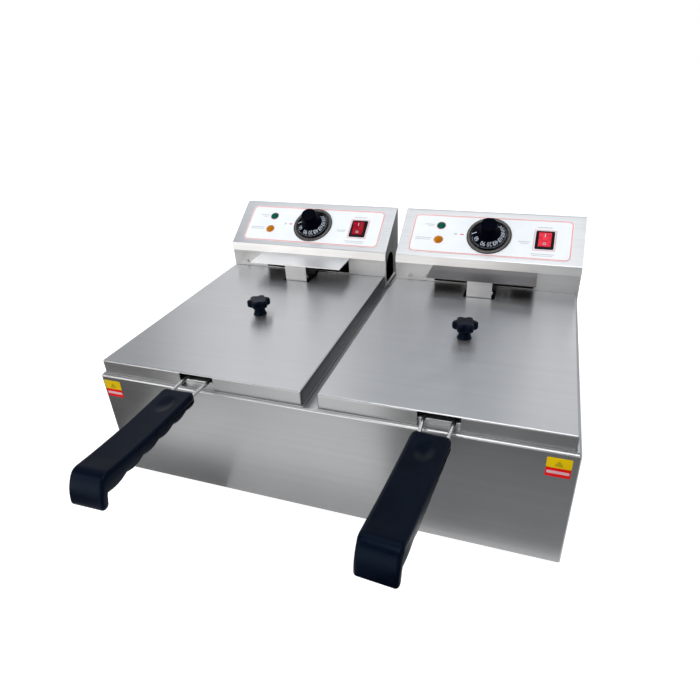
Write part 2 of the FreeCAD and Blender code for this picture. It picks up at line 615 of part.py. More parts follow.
def heating_element():
    """Tubular element: two legs in the stem and a flat looped run near the tank's floor."""
    z = ELEMENT_Z
    leg = ELEMENT_LEG_X
    half = [(leg, ELEMENT_LEG_Y, LEG_TOP), (leg, ELEMENT_LEG_Y, z), (leg, 268, z), (88, 268, z),
            (88, 62, z), (30, 62, z), (30, 232, z)]
    mirrored = [(-x, y, height) for x, y, height in reversed(half)]
    return rod(half + mirrored, ELEMENT_R, 9.0)


def thermostat_body():
    """Capillary thermostat behind the panel, with the shaft that carries the dial."""
    case = box(-19, 19, DIAL_S - 17, DIAL_S + 17, -25, -1.2)
    shaft = cylinder(SHAFT_R, (0, DIAL_S, -1.2), (0, DIAL_S, 22))
    return on_panel(fuse([case, shaft]))


def thermostat_bulb():
    """Sensing bulb above the element and its capillary tube up the stem."""
    bulb = cylinder(3.0, (0, 120, BULB_Z), (0, 238, BULB_Z))
    tube = rod([(0, 236, BULB_Z), (0, BULB_LEG_Y, BULB_Z), (0, BULB_LEG_Y, LEG_TOP)], BULB_TUBE_R, 8.0)
    return fuse([bulb, tube])


def limit_switch():
    """High-limit cut-out behind the back wall."""
    case = box(RESET_X - 15, RESET_X + 15, HEAD_BACK - 30, HEAD_BACK - 6, GLAND_Z - 12, GLAND_Z + 12)
    collar = cylinder(7.0, (RESET_X, HEAD_BACK - 6, GLAND_Z), (RESET_X, HEAD_BACK - SHEET, GLAND_Z))
    bore = cylinder(RESET_R + 0.05, (RESET_X, HEAD_BACK - 12, GLAND_Z), (RESET_X, HEAD_BACK + 1, GLAND_Z))
    return fuse([case, collar]).cut(bore)


def reset_button():
    """Round push button of the high-limit cut-out."""
    button = cylinder(RESET_R, (RESET_X, HEAD_BACK - 8, GLAND_Z), (RESET_X, HEAD_BACK + 3.5, GLAND_Z))
    rim = [e for e in button.Edges if e.BoundBox.YMin > HEAD_BACK + 3]
    return button.makeFillet(0.8, rim)


def dial_bezel():
    """Flat ring around the dial."""
    ring = cylinder(BEZEL_R, (0, DIAL_S, LABEL_T), (0, DIAL_S, 3.0))
    hole = cylinder(BEZEL_IN_R, (0, DIAL_S, 1.2), (0, DIAL_S, 5.0))
    shaft_hole = cylinder(SHAFT_R + 1.5, (0, DIAL_S, -1), (0, DIAL_S, 5))
    ring = cut(ring, [hole, shaft_hole])
    rim = [e for e in ring.Edges if abs(e.BoundBox.ZMin - 3.0) < 0.01 and e.BoundBox.XMax > BEZEL_R - 1]
    return on_panel(ring.makeFillet(1.2, rim))


def dial_knob():
    """Dial: sloping skirt that carries the figures and a round grip."""
    skirt = cone(DIAL_R, 13.5, (0, DIAL_S, 2.0), (0, DIAL_S, 9.5))
    waist = cone(12.5, 10.2, (0, DIAL_S, 9.0), (0, DIAL_S, 17.0))
    grip = cone(10.6, 11.6, (0, DIAL_S, 16.5), (0, DIAL_S, 27.5))
    knob = fuse([skirt, waist, grip])
    return on_panel(knob.cut(cylinder(SHAFT_R + 0.05, (0, DIAL_S, 0), (0, DIAL_S, 22.5))))


def lamp(distance_up):
    """Indicator lamp: flanged domed lens and its body behind the panel."""
    flange = cylinder(LAMP_R, (LAMP_X, distance_up, LABEL_T), (LAMP_X, distance_up, 1.4))
    lens = Part.makeSphere(LAMP_DOME_R, V(LAMP_X, distance_up, LAMP_TOP - LAMP_DOME_R))
    lens = lens.common(cylinder(LAMP_R - 0.8, (LAMP_X, distance_up, 1.0), (LAMP_X, distance_up, 6)))
    body = cylinder(LAMP_HOLE_R, (LAMP_X, distance_up, -16), (LAMP_X, distance_up, LABEL_T + 0.5))
    return on_panel(fuse([flange, lens, body]))


def rocker_frame():
    """Bezel and hollow body of the rocker switch."""
    bezel = rocker_block(ROCKER_W, ROCKER_H, LABEL_T, 2.4)
    body = rocker_block(ROCKER_W - 3.1, ROCKER_H - 3.1, -18, LABEL_T + 0.5)
    hollow = rocker_block(PADDLE_W + 0.6, ROCKER_H - 6, -14, 5)
    trunnions = cylinder(1.55, (ROCKER_X - 10, ROCKER_S, ROCKER_PIVOT),
                         (ROCKER_X + 10, ROCKER_S, ROCKER_PIVOT))
    return on_panel(cut(fuse([bezel, body]), [hollow, trunnions]))


def rocker_paddle():
    """Shallow V paddle on two trunnions, drawn level and then leaned to its first position."""
    half_w = PADDLE_W / 2
    pivot = ROCKER_PIVOT
    outline = [(-11, pivot + 1.0), (-11, pivot + 8.4), (0, pivot + 6.9), (11, pivot + 8.4),
               (11, pivot + 1.0), (4, pivot - 3.5), (-4, pivot - 3.5)]
    paddle = prism_x(outline, ROCKER_X - half_w, ROCKER_X + half_w)
    pin = cylinder(1.5, (ROCKER_X - 9.9, 0, pivot), (ROCKER_X + 9.9, 0, pivot))
    paddle = fuse([paddle, pin])
    paddle.rotate(V(0, 0, pivot), V(1, 0, 0), ROCKER_TILT)
    paddle.translate(V(0, ROCKER_S, 0))
    return on_panel(paddle)


def head_screws():
    """Screws at the front of the head, on the stem and round the back wall."""
    screws = [screw((x, HEAD_FRONT, FACE_SCREWS_Z), (0, -1, 0), 3.2, 2.0) for x in FACE_SCREWS_X]
    screws.append(screw((STEM_HALF_W, STEM_SCREW_Y, FACE_SCREWS_Z), (1, 0, 0), 3.2, 1.0, SHANK_R, 4.0))
    return Part.makeCompound(screws)


def cord_gland():
    """Compression gland in the back wall, left open where the cord would go in."""
    def hexagon(across, y0, y1):
        radius = across / math.sqrt(3)
        points = [V(GLAND_X + radius * math.cos(math.radians(60 * i)), y0,
                    GLAND_Z + radius * math.sin(math.radians(60 * i))) for i in range(7)]
        return Part.Face(Part.makePolygon(points)).extrude(V(0, y1 - y0, 0))
    body = hexagon(20.0, HEAD_BACK, HEAD_BACK + 6)
    dome = cone(8.6, 7.0, (GLAND_X, HEAD_BACK + 6, GLAND_Z), (GLAND_X, GLAND_BACK, GLAND_Z))
    spigot = cylinder(GLAND_R, (GLAND_X, HEAD_BACK - 9, GLAND_Z), (GLAND_X, HEAD_BACK, GLAND_Z))
    nut = hexagon(20.0, HEAD_BACK - 6, HEAD_BACK - SHEET)
    bore = cylinder(4.2, (GLAND_X, HEAD_BACK - 10, GLAND_Z), (GLAND_X, GLAND_BACK + 1, GLAND_Z))
    return fuse([body, dome, spigot, nut]).cut(bore)


# ---------------------------------------------------------------- assembly
SHARED = {
    "casing_wrap": casing_wrap, "rear_panel": rear_panel, "top_deck": top_deck, "base_plate": base_plate,
    "rubber_feet": rubber_feet, "casing_screws": casing_screws, "centre_divider": centre_divider,
    "hazard_stickers": hazard_stickers,
}
TANK_UNIT = {
    "oil_tank": oil_tank, "lid": lid, "lid_knob": lid_knob, "lid_knob_fixing": lid_knob_fixing,
    "basket_mesh": basket_mesh,
}
TURNED = {"basket_frame": basket_frame, "basket_handle": basket_handle}
HEAD_UNIT = {
    "head_cover": head_cover, "head_base": head_base, "head_back_cover": head_back_cover,
    "label_panel": label_panel, "basket_hook_plate": basket_hook_plate, "element_stem": element_stem,
    "heating_element": heating_element, "thermostat_body": thermostat_body,
    "thermostat_bulb": thermostat_bulb, "limit_switch": limit_switch, "reset_button": reset_button,
    "dial_bezel": dial_bezel, "dial_knob": dial_knob,
    "lamp_green": lambda: lamp(LAMP_GREEN_S), "lamp_amber": lambda: lamp(LAMP_AMBER_S),
    "rocker_frame": rocker_frame, "rocker_paddle": rocker_paddle, "head_screws": head_screws,
    "cord_gland": cord_gland,
}


def write(node, shape, x):
    placed = shape.copy()
    placed.translate(V(x, -ORIGIN_Y, 0))
    placed.exportStep("parts/" + node + ".step")


os.makedirs("parts", exist_ok=True)
for name, make in SHARED.items():
    write(name, make(), 0)
for unit, middle in (("_left", -UNIT_X), ("_right", UNIT_X)):
    for name, make in TANK_UNIT.items():
        write(name + unit, make(), middle)
    for name, make in TURNED.items():
        write(name + unit, make(HANDLE_TURNS[unit]), middle)
    for name, make in HEAD_UNIT.items():
        write(name + unit, make(), middle + HEAD_X)
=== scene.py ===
"""Looks of the twin-tank counter-top deep fryer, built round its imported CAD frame."""
import math

import bmesh
import bpy
from mathutils import Matrix, Vector


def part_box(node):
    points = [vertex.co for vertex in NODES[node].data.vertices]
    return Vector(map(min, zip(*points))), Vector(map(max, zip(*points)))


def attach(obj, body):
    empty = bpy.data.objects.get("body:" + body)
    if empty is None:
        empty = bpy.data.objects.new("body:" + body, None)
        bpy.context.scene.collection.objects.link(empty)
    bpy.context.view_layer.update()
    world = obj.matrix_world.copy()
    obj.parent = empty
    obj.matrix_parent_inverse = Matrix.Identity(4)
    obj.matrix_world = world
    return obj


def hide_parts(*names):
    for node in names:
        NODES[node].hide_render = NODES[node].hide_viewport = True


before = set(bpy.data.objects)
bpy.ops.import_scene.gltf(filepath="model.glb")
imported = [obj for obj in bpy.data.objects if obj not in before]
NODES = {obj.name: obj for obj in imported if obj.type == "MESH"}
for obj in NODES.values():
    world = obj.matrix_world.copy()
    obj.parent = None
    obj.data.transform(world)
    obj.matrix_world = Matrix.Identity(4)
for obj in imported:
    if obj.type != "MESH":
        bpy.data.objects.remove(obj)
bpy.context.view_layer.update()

# ---------------------------------------------------------------- where things are
# Pieces are drawn in millimetres: x across from the middle of a frying unit, y back from the casing's
# front face, z up from the worktop.
MM = 0.001
FRONT_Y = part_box("casing_wrap")[0].y


def middle_x(node):
    low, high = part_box(node)
    return (low.x + high.x) / 2


SIDES = {side: middle_x("lid_" + side) for side in ("left", "right")}
HEADS = {side: middle_x("head_cover_" + side) for side in SIDES}

# The sloping panel of a control head, and what sits on it. Distances named _S are measured up the slope.
HEAD_FRONT = 331.0
BEND_Z = 213.0
PANEL_ANGLE = math.radians(34.17)
LABEL_HALF_W = 114.5
LABEL_LOW = 7.5
LABEL_HIGH = 77.0
LABEL_CORNER_R = 8.0
LABEL_FACE = 0.42               # pieces that sit on the label start just above it
DIAL_S = 43.0
LAMP_X = -72.0
LAMPS_S = {"green": 57.0, "amber": 31.0}
ROCKER_X = 77.5
ROCKER_S = 41.0


def drawing_frame(x):
    """Matrix from drawing millimetres, measured across from x metres, to the row frame."""
    return Matrix.Translation((x, FRONT_Y, 0)) @ Matrix.Scale(MM, 4)


def unit_frame(side):
    return drawing_frame(SIDES[side])


def panel_frame(side):
    """The same for the sloping panel: x across, y up the slope, z out of it."""
    lift = Matrix.Translation((0, HEAD_FRONT, BEND_Z)) @ Matrix.Rotation(PANEL_ANGLE, 4, "X")
    return drawing_frame(HEADS[side]) @ lift


# ---------------------------------------------------------------- materials
def new_material(name):
    material = bpy.data.materials.new(name)
    material.use_nodes = True
    tree = material.node_tree
    return material, tree, tree.nodes["Principled BSDF"]


def add(tree, kind, **settings):
    node = tree.nodes.new(kind)
    for key, value in settings.items():
        setattr(node, key, value)
    return node


def math_node(tree, operation, a, b=None):
    node = add(tree, "ShaderNodeMath", operation=operation)
    for index, value in enumerate((a, b)):
        if value is None:
            continue
        if isinstance(value, (int, float)):
            node.inputs[index].default_value = value
        else:
            tree.links.new(value, node.inputs[index])
    return node.outputs[0]


def remap(tree, value, low, high, to_low, to_high):
    node = add(tree, "ShaderNodeMapRange")
    tree.links.new(value, node.inputs[0])
    for index, number in enumerate((low, high, to_low, to_high)):
        node.inputs[index + 1].default_value = number
    return node.outputs[0]


def noise(tree, vector, scale, detail=3.0, rough=0.5, distortion=0.0):
    node = add(tree, "ShaderNodeTexNoise")
    tree.links.new(vector, node.inputs["Vector"])
    node.inputs["Scale"].default_value = scale
    node.inputs["Detail"].default_value = detail
    node.inputs["Roughness"].default_value = rough
    node.inputs["Distortion"].default_value = distortion
    return node.outputs["Fac"]


def stretched(tree, vector, scale):
    node = add(tree, "ShaderNodeVectorMath", operation="MULTIPLY")
    tree.links.new(vector, node.inputs[0])
    node.inputs[1].default_value = scale
    return node.outputs[0]


def mix_color(tree, factor, dark, light):
    node = add(tree, "ShaderNodeMix", data_type="RGBA")
    tree.links.new(factor, node.inputs[0])
    for index, value in ((6, dark), (7, light)):
        if isinstance(value, tuple):
            node.inputs[index].default_value = (*value, 1)
        else:
            tree.links.new(value, node.inputs[index])
    return node.outputs[2]


def bump(tree, height, distance, strength, below=None):
    node = add(tree, "ShaderNodeBump")
    node.inputs["Strength"].default_value = strength
    node.inputs["Distance"].default_value = distance
    tree.links.new(height, node.inputs["Height"])
    if below is not None:
        tree.links.new(below, node.inputs["Normal"])
    return node.outputs[0]


def object_coords(tree):
    return add(tree, "ShaderNodeTexCoord").outputs["Object"]


def edge_wear(tree, coords, low, high):
    """Where convex edges have been rubbed, broken up by noise."""
    pointy = add(tree, "ShaderNodeNewGeometry").outputs["Pointiness"]
    edge = remap(tree, pointy, low, high, 0, 1)
    broken = remap(tree, noise(tree, coords, 260, 4, 0.6), 0.35, 0.65, 0.2, 1)
    return math_node(tree, "MULTIPLY", edge, broken)


BRUSH_LINES = ((9.0, 1500.0), (4.0, 520.0), (1.6, 110.0))   # waves per metre along and across the lines
BRUSH_DIRECTION = (1.0, 0.04, 0.0)
SIDEWAYS = 0.7                  # a wall faces sideways when its normal has more than this of x
SAME_WAY = 0.68                 # least cosine between a face's normal and a listed direction


def steel(name, dark, light, rough, anisotropy, grain=1.0, faces=()):
    """Brushed sheet: lines run across the fryer, and front to back on walls that face sideways.

    faces lists (direction, tone) for sides of the sheet whose colour is replaced by a painted tone: a
    painted highlight along a fold, or painted shade on an inner face or on a side in shadow."""
    material, tree, shader = new_material(name)
    coords = object_coords(tree)
    normal = add(tree, "ShaderNodeNewGeometry").outputs["Normal"]
    parts = add(tree, "ShaderNodeSeparateXYZ")
    tree.links.new(normal, parts.inputs[0])
    sideways = math_node(tree, "GREATER_THAN", math_node(tree, "ABSOLUTE", parts.outputs[0]), SIDEWAYS)
    streaks = []
    for along, across in BRUSH_LINES:
        choose = add(tree, "ShaderNodeMix", data_type="VECTOR")
        tree.links.new(sideways, choose.inputs[0])
        tree.links.new(stretched(tree, coords, (along, across, across)), choose.inputs[4])
        tree.links.new(stretched(tree, coords, (across, along, across)), choose.inputs[5])
        streaks.append(noise(tree, choose.outputs[1], 1.0, 2.0, 0.6))
    cloud = noise(tree, coords, 5.0, 3.0, 0.55, 0.4)
    smudge = noise(tree, coords, 17.0, 5.0, 0.62, 1.2)
    mixed = math_node(tree, "ADD", math_node(tree, "MULTIPLY", streaks[0], 0.5),
                      math_node(tree, "MULTIPLY", streaks[1], 0.5))
    tone = math_node(tree, "ADD", math_node(tree, "MULTIPLY", mixed, 0.55),
                     math_node(tree, "MULTIPLY", math_node(tree, "ADD", streaks[2], cloud), 0.225))
    color = mix_color(tree, remap(tree, tone, 0.36, 0.64, 0, 1), dark, light)
    # painted light: faces that point along a listed direction take that tone instead of the steel's own
    # colour
    for direction, painted_tone in faces:
        facing = add(tree, "ShaderNodeVectorMath", operation="DOT_PRODUCT")
        tree.links.new(normal, facing.inputs[0])
        facing.inputs[1].default_value = direction
        same_way = math_node(tree, "GREATER_THAN", facing.outputs["Value"], SAME_WAY)
        color = mix_color(tree, same_way, color, painted_tone)
    tree.links.new(color, shader.inputs["Base Color"])
    shader.inputs["Metallic"].default_value = 1.0
    shader.inputs["Anisotropic"].default_value = anisotropy
    wobble = math_node(tree, "ADD", math_node(tree, "MULTIPLY", mixed, 0.10 * grain),
                       math_node(tree, "MULTIPLY", smudge, 0.09))
    tree.links.new(math_node(tree, "ADD", wobble, rough - 0.095), shader.inputs["Roughness"])
    turn = add(tree, "ShaderNodeVectorMath", operation="CROSS_PRODUCT")
    tree.links.new(normal, turn.inputs[0])
    turn.inputs[1].default_value = BRUSH_DIRECTION
    unit = add(tree, "ShaderNodeVectorMath", operation="NORMALIZE")
    tree.links.new(turn.outputs[0], unit.inputs[0])
    tree.links.new(unit.outputs[0], shader.inputs["Tangent"])
    fine = bump(tree, mixed, 0.00006, 0.35 * grain)
    tree.links.new(bump(tree, cloud, 0.0006, 0.10, fine), shader.inputs["Normal"])
    return material


def wire_metal(name, dark, light, rough):
    """Plated round wire and machined trim, with a little drawn grain."""
    material, tree, shader = new_material(name)
    coords = object_coords(tree)
    spots = noise(tree, coords, 340.0, 4.0, 0.6)
    tree.links.new(mix_color(tree, remap(tree, spots, 0.3, 0.7, 0, 1), dark, light),
                   shader.inputs["Base Color"])
    shader.inputs["Metallic"].default_value = 1.0
    tree.links.new(remap(tree, noise(tree, coords, 90.0, 3.0), 0.3, 0.7, rough - 0.07, rough + 0.08),
                   shader.inputs["Roughness"])
    tree.links.new(bump(tree, spots, 0.0001, 0.25), shader.inputs["Normal"])
    return material


def plastic(name, dark, light, rough, grain_scale=2600.0, grain_depth=0.00005, worn=None, specular=0.5,
            tint=(1.0, 1.0, 1.0)):
    """Moulded plastic with a fine spark-eroded grain and rubbed edges."""
    material, tree, shader = new_material(name)
    coords = object_coords(tree)
    cloud = noise(tree, coords, 42.0, 4.0, 0.6, 0.6)
    grain = noise(tree, coords, grain_scale, 2.0, 0.5)
    color = mix_color(tree, remap(tree, cloud, 0.3, 0.7, 0, 1), dark, light)
    if worn:
        color = mix_color(tree, edge_wear(tree, coords, 0.53, 0.62), color, worn)
    tree.links.new(color, shader.inputs["Base Color"])
    shader.inputs["Specular IOR Level"].default_value = specular
    shader.inputs["Specular Tint"].default_value = (*tint, 1.0)
    tree.links.new(math_node(tree, "ADD", remap(tree, cloud, 0.3, 0.7, rough - 0.05, rough + 0.05),
                             math_node(tree, "MULTIPLY", grain, 0.05)), shader.inputs["Roughness"])
    tree.links.new(bump(tree, grain, grain_depth, 0.6), shader.inputs["Normal"])
    return material


def lens(name, deep, bright):
    """Tinted translucent plastic: light goes in and comes back coloured."""
    material, tree, shader = new_material(name)
    coords = object_coords(tree)
    cloud = noise(tree, coords, 240.0, 3.0)
    color = mix_color(tree, remap(tree, cloud, 0.3, 0.7, 0, 1), deep, bright)
    tree.links.new(color, shader.inputs["Base Color"])
    shader.inputs["Specular IOR Level"].default_value = 0.05
    shader.inputs["Subsurface Weight"].default_value = 0.15
    shader.inputs["Subsurface Radius"].default_value = (0.002, 0.002, 0.002)
    shader.inputs["Subsurface Scale"].default_value = 1.0
    tree.links.new(remap(tree, cloud, 0.3, 0.7, 0.14, 0.24), shader.inputs["Roughness"])
    tree.links.new(bump(tree, cloud, 0.0001, 0.3), shader.inputs["Normal"])
    return material


def print_film(name, dark, light, rough, specular=0.3):
    """Printed or screen-coloured film with a faint orange peel."""
    material, tree, shader = new_material(name)
    coords = object_coords(tree)
    cloud = noise(tree, coords, 26.0, 4.0, 0.6)
    peel = noise(tree, coords, 900.0, 2.0)
    tree.links.new(mix_color(tree, remap(tree, cloud, 0.3, 0.7, 0, 1), dark, light),
                   shader.inputs["Base Color"])
    tree.links.new(remap(tree, cloud, 0.3, 0.7, rough - 0.05, rough + 0.07), shader.inputs["Roughness"])
    shader.inputs["Specular IOR Level"].default_value = specular
    tree.links.new(bump(tree, peel, 0.00004, 0.4), shader.inputs["Normal"])
    return material


def grey(value):
    return (value, value, value)


SHEET = (grey(0.44), grey(0.55), 0.33, 0.72)
PAINTED_SHADE = (0.008, 0.008, 0.009)  # painted shade: near-black tone for faces in deep shade, such as the underside of a plate and the inside of a head cover
DOWN = (0, 0, -1)
FORWARDS = (0, -1, 0)
RIGHT = (1, 0, 0)
PAINTED_HIGHLIGHT_FOLD = (0, -0.6, 0.8)           # painted highlight: faces along the casing's top edge, turned up and forwards, get a light tone
INSIDE_COVER = (0, 0.45, -0.89)
INSIDE_BASE = (0, 0.7, 0.7)

MATS = {
    "sheet": steel("steel_brushed", *SHEET),
    # painted shade: the lid's forward-facing flange and its right-facing sides are given darker tones
    "lid": steel("steel_brushed_lid", grey(0.49), grey(0.54), 0.35, 0.80, 0.6,
                 [(FORWARDS, grey(0.37)), (RIGHT, (0.16, 0.16, 0.165))]),
    # painted shade: inner faces of the head's cover, base and back cover get near-black and dark grey
    # tones
    "head": steel("steel_brushed_head", *SHEET, faces=[(INSIDE_COVER, PAINTED_SHADE)]),
    "head_base": steel("steel_brushed_base", *SHEET, faces=[(INSIDE_BASE, grey(0.03))]),
    "head_back": steel("steel_brushed_back", *SHEET, faces=[(FORWARDS, grey(0.10))]),
    # painted light: the casing's front is a darker copy of the sheet steel standing in for shade, with a
    # painted highlight along its top fold
    "front": steel("steel_front_painted_light", grey(0.325), grey(0.36), 0.34, 0.72, 0.5,
                   [(PAINTED_HIGHLIGHT_FOLD, (0.47, 0.47, 0.465))]),
    # painted light: the left plate is a light copy standing in for a bright reflection, the right a dark
    # copy standing in for shade; both undersides get painted shade
    "plate_left": steel("steel_plate_painted_light", (0.84, 0.835, 0.82), (0.90, 0.895, 0.88), 0.46, 0.3, 0.3,
                        [(DOWN, (0.010, 0.010, 0.011))]),
    "plate_right": steel("steel_plate_painted_shade", (0.150, 0.145, 0.145), (0.180, 0.174, 0.172), 0.40, 0.4, 0.3,
                         [(DOWN, PAINTED_SHADE)]),
    "satin": steel("steel_satin", grey(0.40), grey(0.50), 0.38, 0.35, 0.5),
    "wire": wire_metal("plated_wire_metal", (0.56, 0.56, 0.56), (0.72, 0.72, 0.72), 0.22),
    "screw": wire_metal("fastener_metal", (0.50, 0.50, 0.50), (0.68, 0.68, 0.67), 0.26),
    "bezel": wire_metal("bezel_metal", (0.060, 0.056, 0.053), (0.105, 0.098, 0.092), 0.30),
    "element": wire_metal("element_sheath_metal", (0.20, 0.20, 0.21), (0.33, 0.33, 0.33), 0.42),
    "copper": wire_metal("copper_tube_metal", (0.62, 0.30, 0.17), (0.78, 0.42, 0.26), 0.30),
    "black": plastic("handle_plastic", (0.0003, 0.0012, 0.0046), (0.0010, 0.0026, 0.0085), 0.30,
                     worn=(0.008, 0.016, 0.028), specular=0.085, tint=(0.42, 0.68, 1.0)),
    "dial": plastic("dial_plastic", (0.0003, 0.0006, 0.0028), (0.0008, 0.0012, 0.0046), 0.28,
                    worn=(0.003, 0.005, 0.010), specular=0.012),
    "switch": plastic("switch_plastic_black", (0.005, 0.005, 0.008), (0.009, 0.009, 0.013), 0.34,
                      specular=0.06),
    "case": plastic("thermostat_plastic", (0.055, 0.05, 0.045), (0.09, 0.08, 0.07), 0.5),
    "rubber": plastic("foot_rubber", (0.010, 0.010, 0.010), (0.022, 0.021, 0.020), 0.72, 1400.0, 0.0001),
    "reset": plastic("reset_plastic", (0.42, 0.015, 0.012), (0.55, 0.03, 0.02), 0.3),
    # painted shade: the left paddle is a darker copy of the same red as the right one
    "rocker_left": lens("rocker_red_dim", (0.24, 0.004, 0.012), (0.44, 0.008, 0.022)),
    "rocker_right": lens("rocker_red", (0.60, 0.022, 0.042), (0.88, 0.048, 0.080)),
    "green": lens("lens_green_glass", (0.0008, 0.062, 0.040), (0.002, 0.110, 0.078)),
    "amber": lens("lens_amber_glass", (0.38, 0.125, 0.001), (0.52, 0.190, 0.004)),
    "label": print_film("label_white", (0.80, 0.83, 0.84), (0.87, 0.89, 0.90), 0.34),
    "pink": print_film("print_pink", (0.74, 0.30, 0.30), (0.84, 0.40, 0.38), 0.36),
    "red": print_film("print_red", (0.62, 0.04, 0.045), (0.74, 0.07, 0.07), 0.36),
    "grey": print_film("print_grey", (0.50, 0.53, 0.54), (0.58, 0.61, 0.62), 0.4),
    "figures": print_film("print_figures", (0.40, 0.45, 0.50), (0.58, 0.62, 0.68), 0.42),
    "yellow": print_film("sticker_yellow", (0.44, 0.29, 0.0), (0.53, 0.36, 0.001), 0.36, 0.03),
    "ochre": print_film("sticker_ochre", (0.26, 0.18, 0.0), (0.32, 0.23, 0.001), 0.36, 0.06),
    "sticker_red": print_film("sticker_red_film", (0.46, 0.001, 0.002), (0.56, 0.003, 0.004), 0.36,
                              0.06),
    "sticker_white": print_film("sticker_white", (0.42, 0.24, 0.26), (0.52, 0.34, 0.36), 0.4, 0.1),
}


# ---------------------------------------------------------------- mesh helpers
def make_object(name, verts, faces, material, body, transform, node, slot, angle=32.0):
    """A finished piece on a body, smooth where edges turn less than angle degrees.

    node is the CAD node that it replaces, or None."""
    mesh = bpy.data.meshes.new(name)
    mesh.from_pydata([tuple(transform @ Vector(v)) for v in verts], [], faces)
    mesh.validate()
    work = bmesh.new()
    work.from_mesh(mesh)
    bmesh.ops.remove_doubles(work, verts=work.verts, dist=1e-7)
    bmesh.ops.recalc_face_normals(work, faces=work.faces)
    for face in work.faces:
        face.smooth = True
    for edge in work.edges:
        if len(edge.link_faces) == 2:
            edge.smooth = edge.calc_face_angle(0.0) < math.radians(angle)
    work.to_mesh(mesh)
    work.free()
    mesh.materials.append(MATS[material])
    piece = bpy.data.objects.new(name, mesh)
    bpy.context.scene.collection.objects.link(piece)
    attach(piece, body)
    if node:
        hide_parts(node)


def join_parts(parts):
    """One vertex and face list from several."""
    verts, faces = [], []
    for more_verts, more_faces in parts:
        shift = len(verts)
        verts += more_verts
        faces += [tuple(i + shift for i in face) for face in more_faces]
    return verts, faces


def moved(part, matrix):
    verts, faces = part
    return [tuple(matrix @ Vector(v)) for v in verts], faces


def loft(rings, ends_meet=False):
    """Skin over closed rings of equal length, capped at both ends unless the last meets the first."""
    count = len(rings[0])
    verts = [tuple(v) for ring in rings for v in ring]
    faces = []
    spans = len(rings) if ends_meet else len(rings) - 1
    for i in range(spans):
        a = i * count
        b = ((i + 1) % len(rings)) * count
        for j in range(count):
            k = (j + 1) % count
            faces.append((a + j, a + k, b + k, b + j))
    if not ends_meet:
        faces.append(tuple(range(count)))
        faces.append(tuple(range((len(rings) - 1) * count, len(rings) * count)))
    return verts, faces


def lathe(profile, segments, shape=None):
    """Turn a (radius, z) profile about z; shape(angle, radius, z) may change the radius."""
    rings = []
    for radius, z in profile:
        ring = []
        for i in range(segments):
            angle = 2 * math.pi * i / segments
            r = shape(angle, radius, z) if shape else radius
            ring.append((r * math.cos(angle), r * math.sin(angle), z))
        rings.append(ring)
    return loft(rings)


def arc_points(centre, radius, start, end, count):
    """Points along an arc, angles in degrees."""
    points = []
    for i in range(count + 1):
        angle = math.radians(start + (end - start) * i / count)
        points.append((centre[0] + radius * math.cos(angle), centre[1] + radius * math.sin(angle)))
    return points


def circle(x, y, radius, count):
    """Points round a circle that starts on its x axis."""
    return [(x + radius * math.cos(math.tau * i / count), y + radius * math.sin(math.tau * i / count))
            for i in range(count)]


def rounded_rectangle(x0, x1, y0, y1, radius, steps):
    points = []
    for cx, cy, start in ((x1 - radius, y1 - radius, 0), (x0 + radius, y1 - radius, 90),
                          (x0 + radius, y0 + radius, 180), (x1 - radius, y0 + radius, 270)):
        points += arc_points((cx, cy), radius, start, start + 90, steps)
    return points


def pillow(x0, x1, y0, y1, z0, z1, corner, edge, steps, edge_steps):
    """Block with rounded corners in plan and rounded top edges."""
    rings = [[(x, y, z0) for x, y in rounded_rectangle(x0, x1, y0, y1, corner, steps)]]
    for i in range(edge_steps + 1):
        turn = math.pi / 2 * i / edge_steps
        inset = edge * (1 - math.cos(turn))
        z = z1 - edge + edge * math.sin(turn)
        ring = rounded_rectangle(x0 + inset, x1 - inset, y0 + inset, y1 - inset,
                                 max(corner - inset, 0.05), steps)
        rings.append([(x, y, z) for x, y in ring])
    return loft(rings)


def tube(points, radius, sides, closed=False):
    """Round wire along a list of points."""
    points = [Vector(p) for p in points]
    count = len(points)
    rings = []
    normal = None
    for i, point in enumerate(points):
        if closed:
            tangent = points[(i + 1) % count] - points[i - 1]
        else:
            tangent = points[min(i + 1, count - 1)] - points[max(i - 1, 0)]
        tangent.normalize()
        if normal is None:
            normal = tangent.orthogonal().normalized()
        normal = (normal - tangent * normal.dot(tangent)).normalized()
        other = tangent.cross(normal)
        ring = []
        for j in range(sides):
            angle = 2 * math.pi * j / sides
            ring.append(point + (normal * math.cos(angle) + other * math.sin(angle)) * radius)
        rings.append(ring)
    return loft(rings, closed)


def strip(outline, width, z0, z1):
    """Thin band of constant width that follows a closed outline, like a printed line."""
    count = len(outline)
    inner = []
    for i, (x, y) in enumerate(outline):
        before = Vector(outline[i - 1])
        after = Vector(outline[(i + 1) % count])
        along = (after - before).normalized()
        inner.append((x - along.y * width, y + along.x * width))
    rings = [[(x, y, z) for x, y in line] for line, z in
             ((outline, z0), (outline, z1), (inner, z1), (inner, z0))]
    return loft(rings, ends_meet=True)


def flat_text(text, size):
    """Figures as flat faces in a mesh, centred on the origin."""
    curve = bpy.data.curves.new("figure", "FONT")
    curve.body = text
    curve.size = size
    curve.align_x = "CENTER"
    curve.align_y = "CENTER"
    curve.resolution_u = 3
    helper = bpy.data.objects.new("figure", curve)
    bpy.context.scene.collection.objects.link(helper)
    bpy.context.view_layer.update()
    mesh = bpy.data.meshes.new_from_object(helper)
    part = ([tuple(v.co) for v in mesh.vertices], [tuple(p.vertices) for p in mesh.polygons])
    bpy.data.objects.remove(helper)
    bpy.data.meshes.remove(mesh)
    return part


